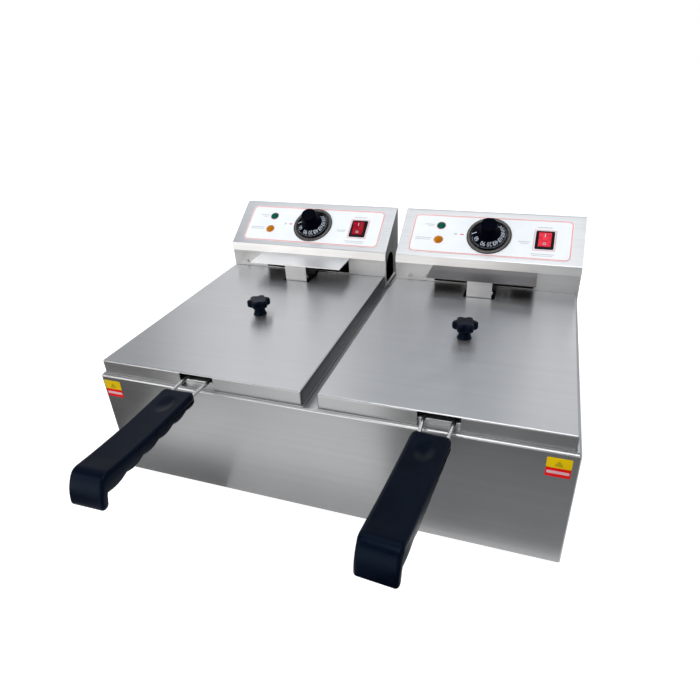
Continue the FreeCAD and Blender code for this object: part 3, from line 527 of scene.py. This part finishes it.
# ---------------------------------------------------------------- CAD nodes that stay
def dress(node, material, bevel):
    """Give a CAD node its material and, where bevel is not 0 mm, softened edges."""
    piece = NODES[node]
    for slot in piece.material_slots:
        slot.material = MATS[material]
    if bevel:
        flat = piece.modifiers.new("flat", "DECIMATE")
        flat.decimate_type = "DISSOLVE"
        flat.angle_limit = math.radians(0.5)
        round_off = piece.modifiers.new("round_off", "BEVEL")
        round_off.width = bevel * MM
        round_off.segments = 2
        round_off.limit_method = "ANGLE"
        round_off.angle_limit = math.radians(40)
        weigh = piece.modifiers.new("weigh", "WEIGHTED_NORMAL")
        weigh.keep_sharp = True
        weigh.weight = 90


DRESS_SHARED = {
    "casing_wrap": ("front", 0.3), "rear_panel": ("sheet", 0.0), "top_deck": ("sheet", 0.3),
    "base_plate": ("satin", 0.0), "rubber_feet": ("rubber", 0.8), "casing_screws": ("screw", 0.3),
    "centre_divider": ("satin", 0.0),
}
DRESS_UNIT = {
    "oil_tank": ("sheet", 0.3), "lid": ("lid", 0.3), "lid_knob_fixing": ("screw", 0.25),
    "basket_frame": ("wire", 0.0), "head_cover": ("head", 0.3), "head_base": ("head_base", 0.0),
    "head_back_cover": ("head_back", 0.0), "element_stem": ("sheet", 0.3),
    "heating_element": ("element", 0.0), "thermostat_body": ("case", 0.5),
    "thermostat_bulb": ("copper", 0.0), "limit_switch": ("case", 0.5), "reset_button": ("reset", 0.0),
    "label_panel": ("label", 0.0), "head_screws": ("screw", 0.3), "cord_gland": ("switch", 0.4),
}
for node, (material, bevel) in DRESS_SHARED.items():
    dress(node, material, bevel)
for side in SIDES:
    for node, (material, bevel) in DRESS_UNIT.items():
        dress(node + "_" + side, material, bevel)
    dress("basket_hook_plate_" + side, "plate_" + side, 0.5)


# ---------------------------------------------------------------- stickers
STICKER_HALF_W = 11.5
STICKER_SPLIT = 10.8            # height of the lower colour
STICKER_FACE = 0.2
MARK_HALF_W = 4.4
MARK_H = 7.2


def stickers():
    """Two-colour films near the front's top corners, with a plain triangle and a plain bar."""
    place = drawing_frame(0) @ Matrix.Rotation(math.pi / 2, 4, "X")
    low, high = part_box("hazard_stickers")
    bottom = low.z / MM
    top = high.z / MM
    middle = bottom + STICKER_SPLIT
    half = STICKER_HALF_W
    face = STICKER_FACE
    printed = face + 0.02
    yellow, red, marks, bars = [], [], [], []
    for x in (low.x / MM + half, high.x / MM - half):
        yellow.append(pillow(x - half, x + half, middle, top, 0, face, 1.2, 0.08, 4, 2))
        red.append(pillow(x - half, x + half, bottom, middle - 0.15, 0, face, 1.2, 0.08, 4, 2))
        bars.append(pillow(x - half + 1.2, x + half - 1.2, bottom + 3.8, bottom + 7.2, face - 0.02,
                           printed, 0.8, 0.02, 4, 1))
        foot = middle + 2.0
        marks.append(([(x - MARK_HALF_W, foot, printed), (x + MARK_HALF_W, foot, printed),
                       (x, foot + MARK_H, printed)], [(0, 1, 2)]))
    for name, parts, material, node in (("upper", yellow, "yellow", "hazard_stickers"),
                                        ("lower", red, "sticker_red", "hazard_stickers"),
                                        ("mark", marks, "ochre", None),
                                        ("bar", bars, "sticker_white", None)):
        make_object("sticker_" + name, *join_parts(parts), material, "casing", place, node,
                    "sticker_vinyl")


stickers()


# ---------------------------------------------------------------- basket grip
GRIP_HALF_W = 19.25
GRIP_BACK = -26.5               # end nearest the casing
GRIP_TOP = 175.0
GRIP_EDGE_R = 3.4
GRIP_END_R = 8.0                # rounding of that end in plan
GROOVE_FIRST_Y = -45.5          # finger grooves underneath
GROOVE_STEP = 24.3
GROOVE_COUNT = 6
GROOVE_Z = 162.4
CREST_Z = 159.7
THUMB_DISH_Y = -53.5
HANDLE_PIVOT_Y = -22.0
HANDLE_TURNS = {"left": math.radians(1.1), "right": math.radians(-4.1)}


def arc_through(a, b, c, count):
    """Points of the arc from a through b to c, without a itself."""
    (ax, ay), (bx, by), (cx, cy) = a, b, c
    d = 2 * (ax * (by - cy) + bx * (cy - ay) + cx * (ay - by))
    ux = ((ax ** 2 + ay ** 2) * (by - cy) + (bx ** 2 + by ** 2) * (cy - ay)
          + (cx ** 2 + cy ** 2) * (ay - by)) / d
    uy = ((ax ** 2 + ay ** 2) * (cx - bx) + (bx ** 2 + by ** 2) * (ax - cx)
          + (cx ** 2 + cy ** 2) * (bx - ax)) / d
    radius = math.hypot(ax - ux, ay - uy)
    start = math.atan2(ay - uy, ax - ux)
    turn = (math.atan2(cy - uy, cx - ux) - start) % math.tau
    turn_to_b = (math.atan2(by - uy, bx - ux) - start) % math.tau
    if turn_to_b > turn:
        turn -= math.tau
    return [(ux + radius * math.cos(start + turn * i / count),
             uy + radius * math.sin(start + turn * i / count)) for i in range(1, count + 1)]


def grip_outline():
    """Side view of the grip as (y, z), from the wire end over the top, round the hook and back."""
    grooves = [GROOVE_FIRST_Y - i * GROOVE_STEP for i in range(GROOVE_COUNT)]
    back = GRIP_BACK - 0.2
    first = (back, 172.4)
    arcs = [((back - 0.6, 174.2), (back - 2.4, GRIP_TOP), 4),
            ((-95, 175.6), (-160.5, 180.1), 76),
            ((-167.6, 179.0), (-172.0, 175.2), 8),
            ((-178.0, 163.0), (-179.9, 152.6), 14),
            ((-178.7, 149.6), (-175.6, 148.6), 5),
            ((-172.2, 150.0), (-170.6, 153.5), 5),
            ((-169.3, 157.8), (grooves[-1] - 1.5, GROOVE_Z - 1), 6)]
    for far, near in zip(reversed(grooves[1:]), reversed(grooves[:-1])):
        arcs.append((((far + near) / 2, CREST_Z), (near, GROOVE_Z), 12))
    arcs += [((-37, 160.7), (back - 2.4, 161.7), 8),
             ((back - 0.8, 162.4), (back, 164.3), 4)]
    points = [first]
    here = first
    for middle, end, count in arcs:
        points += arc_through(here, middle, end, count)
        here = end
    return points


def inset_outline(outline, distance):
    """Outline moved inwards along its own normals."""
    count = len(outline)
    result = []
    for i, (y, z) in enumerate(outline):
        before = Vector(outline[i - 1])
        after = Vector(outline[(i + 1) % count])
        along = (after - before).normalized()
        result.append((y + along.y * distance, z - along.x * distance))
    return result


def clamp(value):
    return min(max(value, 0.0), 1.0)


def grip_point(x, y, z):
    """Shape the straight extrusion: rounded end in plan, taper, thumb dish, hollow top and side line."""
    taper = 1.0 - 0.055 * clamp((GRIP_BACK - y) / 140.0)
    into_end = y - (GRIP_BACK - GRIP_END_R)
    narrow = 0.0
    if into_end > 0:
        narrow = GRIP_END_R - math.sqrt(max(GRIP_END_R ** 2 - min(into_end, GRIP_END_R) ** 2, 0.0))
    width = (GRIP_HALF_W - narrow * 0.62) * taper
    sx = x * width / GRIP_HALF_W
    across = x / GRIP_HALF_W
    top = GRIP_TOP + 5.0 * clamp((-y - 95) / 66.0) ** 2
    near_top = clamp((z - (top - 6.0)) / 6.0)
    if y > -160:
        z -= near_top * 0.55 * (1 - across ** 2) * min((y + 160) / 14.0, 1.0)
        reach = math.hypot(x / 10.5, (y - THUMB_DISH_Y) / 15.5)
        if reach < 1.0:
            z -= near_top * 1.7 * (0.5 + 0.5 * math.cos(math.pi * reach)) ** 0.8
    seam = top - 10.5 + (y + 31) * 0.01
    if abs(across) > 0.85 and y > -168:
        sx += math.copysign(0.35 * clamp(seam - z) - 0.35, x)
    return (sx, y, z)


def basket_grip(side):
    outline = grip_outline()
    area = sum(outline[i - 1][0] * outline[i][1] - outline[i][0] * outline[i - 1][1]
               for i in range(len(outline)))
    outward = 1.0 if area > 0 else -1.0
    steps = []
    for i in range(6):
        turn = math.pi / 2 * i / 5
        steps.append((-GRIP_HALF_W + GRIP_EDGE_R * (1 - math.cos(turn)),
                      GRIP_EDGE_R * (1 - math.sin(turn))))
    spans = 26
    flat_half = GRIP_HALF_W - GRIP_EDGE_R
    flat = [(-flat_half + 2 * flat_half * i / spans, 0.0) for i in range(1, spans)]
    steps = steps + flat + [(-x, depth) for x, depth in reversed(steps)]
    rings = []
    for x, depth in steps:
        shrunk = inset_outline(outline, -outward * depth)
        rings.append([grip_point(x, y, z) for y, z in shrunk])
    pivot = Vector((0, HANDLE_PIVOT_Y, 0))
    turn = (Matrix.Translation(pivot) @ Matrix.Rotation(HANDLE_TURNS[side], 4, "Z")
            @ Matrix.Translation(-pivot))
    make_object("basket_grip_" + side, *loft(rings), "black", "basket_" + side, unit_frame(side) @ turn,
                "basket_handle_" + side, "black_plastic", 40)


# ---------------------------------------------------------------- lid knob
LID_TOP = 174.5
KNOB_Y = 166.5
KNOB_CAP_LOW = 187.0
KNOB_LOBES = {"left": math.radians(35), "right": math.radians(10)}   # direction of one lobe's crest
KNOB_PROFILE = [(0.4, LID_TOP), (8.6, LID_TOP), (9.0, LID_TOP + 0.4), (8.6, LID_TOP + 1.2),
                (7.9, 177.5), (7.3, 180.5), (7.1, 184), (7.6, 185.6), (9.4, 186.2), (11.8, 186.6),
                (13.1, 187.2), (13.8, 188.2), (13.95, 189.6), (13.95, 193.6), (13.7, 194.9),
                (13.1, 195.8), (12.1, 196.3), (10.6, 196.5), (7.4, 196.35), (0.4, 196.2)]


def lid_knob(side):
    """Six-lobed cap on a waisted stem."""
    def lobes(angle, radius, z):
        if z < KNOB_CAP_LOW - 1:
            return radius
        blend = min(z - KNOB_CAP_LOW + 1, 1.0)
        wave = math.cos(6 * (angle - KNOB_LOBES[side]))
        return radius * (1 + blend * 0.13 * wave - blend * 0.02 * abs(wave))

    make_object("lid_grip_" + side, *lathe(KNOB_PROFILE, 96, lobes), "black", "lid_body_" + side,
                unit_frame(side) @ Matrix.Translation((0, KNOB_Y, 0)), "lid_knob_" + side,
                "black_plastic", 50)


# ---------------------------------------------------------------- dial
DIAL_R = 25.5
SKIRT_TOP_R = 13.5
SKIRT_LOW = 2.2
SKIRT_HIGH = 9.5
SKIRT_RISE = 0.35               # the dial's skirt is drawn this much proud
PRINT_RISE = 0.42
FIGURE_SIZE = 7.4
FIGURE_R = 19.3                 # radius of the figures' middles
FIGURES = ((60, 213), (90, 252), (120, 285), (140, 312), (160, 339), (180, 6), (200, 33))
TICK_COUNT = 40
TICK_START = 195
TICK_STEP = 5.2
TICK_OUTER_R = 24.7
DIAL_HUB = [(15.0, 8.9), (14.7, 9.6), (14.0, 11.0), (13.1, 12.8), (12.0, 14.8), (11.2, 16.6),
            (11.0, 18.0), (11.1, 21.0), (11.4, 24.0), (11.6, 25.6), (11.65, 26.4), (11.4, 27.1),
            (10.7, 27.45), (9.8, 27.5), (8.9, 27.2), (8.5, 26.8), (3.1, 26.7)]
BEZEL_PROFILE = [(4.6, LABEL_FACE), (31.6, LABEL_FACE), (32.0, 0.8), (32.0, 1.7), (31.6, 2.4),
                 (30.9, 2.85), (30.0, 3.0), (28.2, 3.0), (27.6, 2.9), (26.9, 2.3), (26.3, 1.4),
                 (26.2, 1.25), (4.6, 1.2)]


def skirt_height(radius):
    return SKIRT_LOW + (DIAL_R - radius) / (DIAL_R - SKIRT_TOP_R) * (SKIRT_HIGH - SKIRT_LOW)


def on_skirt(verts, turn):
    """Bend flat figures round the skirt, with their feet towards the grip's middle."""
    result = []
    for x, y, z in verts:
        radius = FIGURE_R + y * 1.02
        angle = turn - x / (FIGURE_R + 0.3)
        result.append((radius * math.cos(angle), radius * math.sin(angle),
                       skirt_height(radius) + PRINT_RISE))
    return result


def dial_tick(degrees, inner, half):
    """Line on the skirt from the inner radius to the rim."""
    verts = []
    for radius, sign in ((inner, -1), (TICK_OUTER_R, -1), (TICK_OUTER_R, 1), (inner, 1)):
        turn = math.radians(degrees) + sign * half / radius
        verts.append((radius * math.cos(turn), radius * math.sin(turn),
                      skirt_height(radius) + PRINT_RISE))
    return verts, [(0, 1, 2, 3)]


def dial(side):
    """Skirted dial with a fluted grip, its figures and lines, and the ring round it."""
    place = panel_frame(side) @ Matrix.Translation((0, DIAL_S, 0))
    body = "dial_" + side
    profile = [(3.1, SKIRT_LOW), (DIAL_R - 0.5, SKIRT_LOW), (DIAL_R, 2.5), (DIAL_R - 0.25, 2.9)]
    profile += [(r, skirt_height(r) + SKIRT_RISE) for r in (24.4, 21.5, 18.5, 15.8)]

    def flutes(angle, radius, z):
        if z < 16.8 or z > 26.5 or radius < 10:
            return radius
        return radius - 0.35 * (0.5 + 0.5 * math.cos(18 * angle)) ** 2

    make_object("dial_body_" + side, *lathe(profile + DIAL_HUB, 144, flutes), "dial", body, place,
                "dial_knob_" + side, "black_plastic", 38)
    prints = []
    for number, degrees in FIGURES:
        verts, faces = flat_text(str(number), FIGURE_SIZE)
        prints.append((on_skirt(verts, math.radians(degrees)), faces))
    for i in range(TICK_COUNT):
        inner = 22.9 if i % 4 == 0 else 23.3
        prints.append(dial_tick(TICK_START + i * TICK_STEP, inner, 0.16))
    prints.append(dial_tick(180, 17.4, 0.62))
    make_object("dial_figures_" + side, *join_parts(prints), "figures", body, place, None,
                "label_print")
    rings = [[(x, y, z) for x, y in circle(0, 0, radius, 120)] for radius, z in BEZEL_PROFILE]
    make_object("dial_ring_" + side, *loft(rings, True), "bezel", "head_" + side, place,
                "dial_bezel_" + side, "bezel_chrome", 40)


# ---------------------------------------------------------------- lamps
LENS_PROFILE = [(0.05, -16), (5.2, -16), (5.3, -15.8), (5.3, LABEL_FACE), (6.1, LABEL_FACE),
                (6.2, 0.7), (6.1, 1.2), (5.7, 1.45), (5.4, 1.6), (5.1, 2.1), (4.5, 2.7), (3.6, 3.25),
                (2.5, 3.62), (1.2, 3.83), (0.05, 3.9)]


def lamps(side):
    """Domed lenses with fine ribs round their sides."""
    def ribs(angle, radius, z):
        if 1.0 < z < 3.6:
            return radius * (1 + 0.012 * math.cos(16 * angle))
        return radius

    for color, s in LAMPS_S.items():
        make_object("lamp_lens_" + color + "_" + side, *lathe(LENS_PROFILE, 64, ribs), color,
                    "head_" + side, panel_frame(side) @ Matrix.Translation((LAMP_X, s, 0)),
                    "lamp_" + color + "_" + side, "lens_" + color, 35)


# ---------------------------------------------------------------- rocker switch
ROCKER_HALF_W = 12.75
ROCKER_HALF_H = 15.5
HOLLOW_HALF_W = 9.0
HOLLOW_HALF_H = 12.5
SWITCH_LOW = -13.8
SWITCH_WALL = 1.6
ROCKER_TILT = math.radians(9.0)
PIVOT_Z = -3.5
PADDLE_HALF_W = 8.7
PADDLE_HALF_H = 11.0
PIN_HALF = 9.9
RING_Y = -6.4                   # ring printed on the paddle


def switch_ring(half_w, half_h, corner, z):
    return [(x, y, z) for x, y in rounded_rectangle(-half_w, half_w, -half_h, half_h, corner, 5)]


def rocker(side):
    """Surround of the switch: outside, rolled lip, the hollow for the paddle, and the body's underside."""
    place = panel_frame(side) @ Matrix.Translation((ROCKER_X, ROCKER_S, 0))
    rings = []
    for inset, z in ((0.0, LABEL_FACE), (0.0, 1.5), (0.35, 2.1), (1.0, 2.4), (2.6, 2.4)):
        rings.append(switch_ring(ROCKER_HALF_W - inset, ROCKER_HALF_H - inset, max(1.6 - inset, 0.3), z))
    for grow, z in ((0.55, 2.3), (0.0, 1.6), (0.0, SWITCH_LOW)):
        rings.append(switch_ring(HOLLOW_HALF_W + grow, HOLLOW_HALF_H + grow, 0.5 + grow, z))
    for z in (SWITCH_LOW, LABEL_FACE):
        rings.append(switch_ring(ROCKER_HALF_W - SWITCH_WALL, ROCKER_HALF_H - SWITCH_WALL, 0.6, z))
    make_object("rocker_surround_" + side, *loft(rings, True), "switch", "head_" + side, place,
                "rocker_frame_" + side, "switch_plastic", 35)
    paddle(side, place)


def paddle_surface(y):
    """Height of the paddle's top, a shallow V."""
    return PIVOT_Z + 6.95 + 1.45 * (abs(y) / PADDLE_HALF_H) ** 1.7


def on_paddle(points):
    return [(x, y, paddle_surface(y) + 0.03) for x, y in points]


def paddle(side, place):
    """Translucent paddle on its pins, with a bar at one end and a ring at the other."""
    tilt = (Matrix.Translation((0, 0, PIVOT_Z)) @ Matrix.Rotation(ROCKER_TILT, 4, "X")
            @ Matrix.Translation((0, 0, -PIVOT_Z)))
    reach = PADDLE_HALF_H
    outline = [(-reach, PIVOT_Z + 1.0), (-reach, PIVOT_Z + 7.6)]
    for i in range(25):
        y = -reach + 2 * reach * i / 24
        outline.append((y * 0.985, paddle_surface(y) - (0.25 if i in (0, 24) else 0)))
    outline += [(reach, PIVOT_Z + 7.6), (reach, PIVOT_Z + 1.0), (4, PIVOT_Z - 3.5), (-4, PIVOT_Z - 3.5)]
    rings = []
    half = PADDLE_HALF_W
    for x, inset in ((-half, 0.5), (-half + 0.15, 0.2), (-half + 0.5, 0.0), (half - 0.5, 0.0),
                     (half - 0.15, 0.2), (half, 0.5)):
        rings.append([(x, y * (1 - inset / reach), z - inset * (1 if z > PIVOT_Z + 4 else -1))
                      for y, z in outline])
    pins = moved(lathe([(0.1, -PIN_HALF), (1.5, -PIN_HALF), (1.5, PIN_HALF), (0.1, PIN_HALF)], 24),
                 Matrix.Translation((0, 0, PIVOT_Z)) @ Matrix.Rotation(math.pi / 2, 4, "Y"))
    body = "rocker_" + side
    make_object("rocker_button_" + side, *join_parts([loft(rings), pins]), "rocker_" + side, body,
                place @ tilt, "rocker_paddle_" + side, "rocker_red", 35)
    bar = [(x, 4.4 + 4.4 * i / 4) for i in range(5) for x in (-0.55, 0.55)]
    ring = circle(0, RING_Y, 2.2, 32) + circle(0, RING_Y, 1.4, 32)
    marks = [(on_paddle(bar), [(2 * i, 2 * i + 1, 2 * i + 3, 2 * i + 2) for i in range(4)]),
             (on_paddle(ring), [(i, (i + 1) % 32, 32 + (i + 1) % 32, 32 + i) for i in range(32)])]
    make_object("rocker_marks_" + side, *join_parts(marks), "figures", body, place @ tilt, None,
                "label_print")


# ---------------------------------------------------------------- printing on the panel
PRINT_LOW, PRINT_HIGH = 0.40, 0.47
BORDER_INSET = 0.5
BORDER_W = 1.7
LAMP_RING_R = 7.2
SWITCH_FRAME_HALF_W = 15.2
SWITCH_FRAME_HALF_H = 18.0
# Plain bars in place of words: left end, right end, middle up the slope, and height.
LABEL_BARS = ((-97, -82, 58.6, 1.5), (-92, -83, 55.6, 1.2), (-106, -83, 33.4, 1.4),
              (-107, -84, 30.4, 1.2), (-50, -46.5, DIAL_S, 3.2), (42, 58, 36.8, 1.4),
              (44, 56, 34.0, 1.1), (66, 86, 63.6, 1.3), (60, 92, 17.0, 1.2), (62, 90, 14.2, 1.0))
DIAL_MARK = (-41.5, -36.5, DIAL_S, 1.8)


def printed_bar(x0, x1, s, tall):
    return pillow(x0, x1, s - tall / 2, s + tall / 2, PRINT_LOW, PRINT_HIGH, 0.4, 0.02, 3, 1)


def label_print(side):
    """Border, frames round the switch and lamps, the dial's mark, and bars that stand for words."""
    border = rounded_rectangle(-LABEL_HALF_W + BORDER_INSET, LABEL_HALF_W - BORDER_INSET,
                               LABEL_LOW + BORDER_INSET, LABEL_HIGH - BORDER_INSET,
                               LABEL_CORNER_R - BORDER_INSET, 8)
    switch = rounded_rectangle(ROCKER_X - SWITCH_FRAME_HALF_W, ROCKER_X + SWITCH_FRAME_HALF_W,
                               ROCKER_S - SWITCH_FRAME_HALF_H, ROCKER_S + SWITCH_FRAME_HALF_H, 1.0, 3)
    frames = [(border, BORDER_W), (switch, 1.0)]
    frames += [(circle(LAMP_X, s, LAMP_RING_R, 48), 0.9) for s in LAMPS_S.values()]
    pink = [strip(line, width, PRINT_LOW, PRINT_HIGH) for line, width in frames]
    grey_bars = [printed_bar(*bar) for bar in LABEL_BARS]
    for name, parts, material in (("border", pink, "pink"), ("mark", [printed_bar(*DIAL_MARK)], "red"),
                                  ("bars", grey_bars, "grey")):
        make_object("label_" + name + "_" + side, *join_parts(parts), material, "head_" + side,
                    panel_frame(side), None, "label_print")


# ---------------------------------------------------------------- basket mesh
BASKET_HALF_W = 92.0
BASKET_FRONT = 42.0
BASKET_BACK = 272.0
MESH_FLOOR = 67.2
MESH_RIM = 146.0
MESH_CORNER_R = 18.0
MESH_BEND = 5.0                 # rounding between a wall and the floor
MESH_WIRE_R = 0.75
MESH_ROWS = 10
WIRES_ACROSS = 26
WIRES_ALONG = 20


def mesh_inset(z):
    """The walls lean in towards the floor by this much at height z."""
    return 4.9 + 6.0 * (MESH_RIM - z) / (MESH_RIM - MESH_FLOOR)


def mesh_wire(low, high, rim_low, rim_high):
    """One wire as (a, z): down one wall, across the floor and up the other."""
    half_way = (MESH_RIM + MESH_FLOOR) / 2
    bend = MESH_BEND
    spans = 8
    line = [(rim_low, MESH_RIM), (rim_low + (low - rim_low) * 0.5, half_way), (low, MESH_FLOOR + bend),
            (low + bend * 0.3, MESH_FLOOR + bend * 0.3), (low + bend, MESH_FLOOR)]
    line += [(low + bend + (high - low - 2 * bend) * k / spans, MESH_FLOOR) for k in range(1, spans)]
    line += [(high - bend, MESH_FLOOR), (high - bend * 0.3, MESH_FLOOR + bend * 0.3),
             (high, MESH_FLOOR + bend), (rim_high + (high - rim_high) * 0.5, half_way),
             (rim_high, MESH_RIM)]
    return line


def spread(low, high, spans):
    """Evenly spaced wires between two walls, clear of the floor's corners."""
    margin = mesh_inset(MESH_FLOOR) + MESH_CORNER_R * 0.55
    start, end = low + margin, high - margin
    return [start + (end - start) * i / spans for i in range(spans + 1)]


def between_walls(low, high):
    """The wire that runs between two of the pan's walls, given by their outer limits."""
    floor_inset, rim_inset = mesh_inset(MESH_FLOOR), mesh_inset(MESH_RIM)
    return mesh_wire(low + floor_inset, high - floor_inset, low + rim_inset, high - rim_inset)


def basket_wires(side):
    """Woven wire pan inside the frame, open at the top."""
    parts = []
    for i in range(MESH_ROWS + 1):
        z = MESH_FLOOR + 6.0 + (MESH_RIM - 2.0 - MESH_FLOOR - 6.0) * i / MESH_ROWS
        inset = mesh_inset(z)
        row = rounded_rectangle(-BASKET_HALF_W + inset, BASKET_HALF_W - inset, BASKET_FRONT + inset,
                                BASKET_BACK - inset, MESH_CORNER_R, 5)
        parts.append(tube([(x, y, z) for x, y in row], MESH_WIRE_R, 6, True))
    across = between_walls(-BASKET_HALF_W, BASKET_HALF_W)
    for y in spread(BASKET_FRONT, BASKET_BACK, WIRES_ACROSS):
        parts.append(tube([(x, y, z) for x, z in across], MESH_WIRE_R, 6))
    along = between_walls(BASKET_FRONT, BASKET_BACK)
    for x in spread(-BASKET_HALF_W, BASKET_HALF_W, WIRES_ALONG):
        parts.append(tube([(x, y, z) for y, z in along], MESH_WIRE_R, 6))
    make_object("basket_wires_" + side, *join_parts(parts), "wire", "basket_" + side, unit_frame(side),
                "basket_mesh_" + side, "plated_wire", 60)


for side in SIDES:
    basket_grip(side)
    lid_knob(side)
    dial(side)
    lamps(side)
    rocker(side)
    label_print(side)
    basket_wires(side)


# ---------------------------------------------------------------- studio
def stage_sheet(name, corners, z, material):
    mesh = bpy.data.meshes.new(name)
    mesh.from_pydata([(x, y, z) for x, y in corners], [], [tuple(range(len(corners)))])
    mesh.materials.append(material)
    sheet = bpy.data.objects.new(name, mesh)
    bpy.context.scene.collection.objects.link(sheet)
    return sheet


def area_light(name, place, target, size, size_y, power, color):
    data = bpy.data.lights.new(name, "AREA")
    data.shape = "RECTANGLE"
    data.size = size
    data.size_y = size_y
    data.energy = power
    data.color = color
    lamp = bpy.data.objects.new(name, data)
    lamp.location = place
    lamp.rotation_euler = (Vector(target) - Vector(place)).to_track_quat("-Z", "Y").to_euler()
    bpy.context.scene.collection.objects.link(lamp)


WHITE = (1, 1, 1)
WARM = (1.0, 0.955, 0.91)
LIGHTS = (
    ("top", (-0.40, 0.35, 2.1), (-0.40, 0.35, 0), 2.0, 1.3, 12.0, WHITE),
    ("front_high", (0.2, -1.2, 2.6), (0, 0, 0), 1.6, 1.2, 27.0, WHITE),
    ("left_high", (-1.35, -1.5, 1.36), (-0.1, -0.1, 0.15), 0.8, 0.8, 4.8, WHITE),
    ("front_low", (-1.05, -2.5, 0.50), (-0.2, 0.2, 0.2), 2.4, 0.9, 14.0, WARM),
    ("back_left", (-1.15, 1.75, 1.45), (0, 0.1, 0.15), 1.0, 1.4, 2.8, WHITE),
    ("back_right", (0.55, 2.1, 1.25), (0.1, 0.1, 0.15), 0.7, 1.1, 2.2, WHITE),
)
# Cards lying round the fryer, seen only in its steel: name, tone, glow and corners in metres.
CARD_Z = 0.002
CARDS = (
    ("card_left", 0.06, 0.0,
     [(-0.34, -0.14), (-0.31, -0.45), (-0.26, -0.95), (-0.95, -0.95), (-0.95, -0.14)]),
    ("card_close_left", 0.34, 0.0,
     [(-0.34, -0.125), (-0.13, -0.125), (-0.15, -0.19), (-0.335, -0.19)]),
    ("card_close_right", 0.6, 0.25,
     [(-0.13, -0.125), (0.09, -0.125), (0.07, -0.19), (-0.15, -0.19)]),
    ("card_middle_near", 0.6, 0.85,
     [(-0.335, -0.19), (0.07, -0.19), (0.03, -0.30), (-0.325, -0.30)]),
    ("card_middle_far", 0.6, 0.40,
     [(-0.325, -0.30), (0.03, -0.30), (-0.03, -0.50), (-0.305, -0.50)]),
    ("card_right_near", 0.45, 0.0,
     [(0.09, -0.14), (0.80, -0.14), (0.80, -0.30), (0.03, -0.30)]),
    ("card_right_far", 0.04, 0.0,
     [(0.03, -0.30), (0.80, -0.30), (0.80, -0.95), (-0.10, -0.95), (-0.03, -0.50)]),
    ("card_back", 0.05, 0.0,
     [(-0.30, 0.42), (0.50, 0.42), (0.50, 1.70), (-0.30, 1.70)]),
)


def matt(name, noise_scale, detail, dark, light, glow):
    """Matt stage material with a faint glow of its own."""
    material, tree, shader = new_material(name)
    cloud = noise(tree, object_coords(tree), noise_scale, detail)
    tree.links.new(mix_color(tree, cloud, dark, light), shader.inputs["Base Color"])
    shader.inputs["Roughness"].default_value = 0.9
    shader.inputs["Specular IOR Level"].default_value = 0.0
    shader.inputs["Emission Color"].default_value = (1.0, 1.0, 1.0, 1.0)
    shader.inputs["Emission Strength"].default_value = glow
    return material


def sky():
    """White at the horizon, dimmer above, bluish overhead, with a dark flag in front on the right."""
    world = bpy.data.worlds.new("studio")
    bpy.context.scene.world = world
    world.use_nodes = True
    tree = world.node_tree
    background = tree.nodes["Background"]
    parts = add(tree, "ShaderNodeSeparateXYZ")
    tree.links.new(add(tree, "ShaderNodeTexCoord").outputs["Generated"], parts.inputs[0])
    across, back, height = parts.outputs
    low = mix_color(tree, remap(tree, height, 0.06, 0.30, 0, 1), grey(1.0), (0.62, 0.63, 0.65))
    dome = mix_color(tree, remap(tree, height, 0.45, 0.80, 0, 1), low, (0.22, 0.27, 0.34))
    front = remap(tree, back, -0.55, -0.85, 0, 1)
    right = remap(tree, across, -0.20, 0.02, 0, 1)
    above = remap(tree, height, 0.12, 0.28, 0, 1)
    flag = math_node(tree, "MULTIPLY", math_node(tree, "MULTIPLY", front, right), above)
    tree.links.new(mix_color(tree, flag, dome, (0.10, 0.10, 0.11)), background.inputs["Color"])
    background.inputs["Strength"].default_value = 1.0


def studio():
    """Backlit white floor, sky, lights and cards."""
    stage_sheet("floor", [(-7, -7), (7, -7), (7, 7), (-7, 7)], 0.0,
                matt("floor_white", 3.0, 2.0, (0.56, 0.56, 0.565), (0.60, 0.60, 0.605), 0.80))
    sky()
    for light in LIGHTS:
        area_light(*light)
    for name, tone, glow, corners in CARDS:
        sheet = stage_sheet(name, corners, CARD_Z, matt(name, 2.0, 3.0, grey(tone * 0.9),
                                                        grey(tone * 1.1), glow))
        sheet.visible_camera = False
        sheet.visible_diffuse = False
        sheet.visible_shadow = False


def camera():
    """Standing just right of the fryer's middle, looking down and slightly to the left."""
    data = bpy.data.cameras.new("camera")
    data.sensor_width = 36.0
    data.lens = 28.27954
    data.clip_start = 0.01
    data.dof.use_dof = False
    yaw = math.radians(20.216)
    pitch = math.radians(29.711)
    roll = math.radians(-2.834)
    forward = Vector((-math.sin(yaw) * math.cos(pitch), math.cos(yaw) * math.cos(pitch), -math.sin(pitch)))
    right = Vector((math.cos(yaw), math.sin(yaw), 0))
    up = right.cross(forward)
    axis_x = right * math.cos(roll) + up * math.sin(roll)
    axis_y = -right * math.sin(roll) + up * math.cos(roll)
    matrix = Matrix((axis_x, axis_y, -forward)).transposed().to_4x4()
    matrix.translation = Vector((0.2098, -0.5516, 0.4991))
    shot = bpy.data.objects.new("camera", data)
    shot.matrix_world = matrix
    bpy.context.scene.collection.objects.link(shot)
    bpy.context.scene.camera = shot


studio()
camera()
bpy.context.scene.view_settings.view_transform = "Standard"
bpy.context.scene.view_settings.look = "None"

bpy.context.view_layer.update()
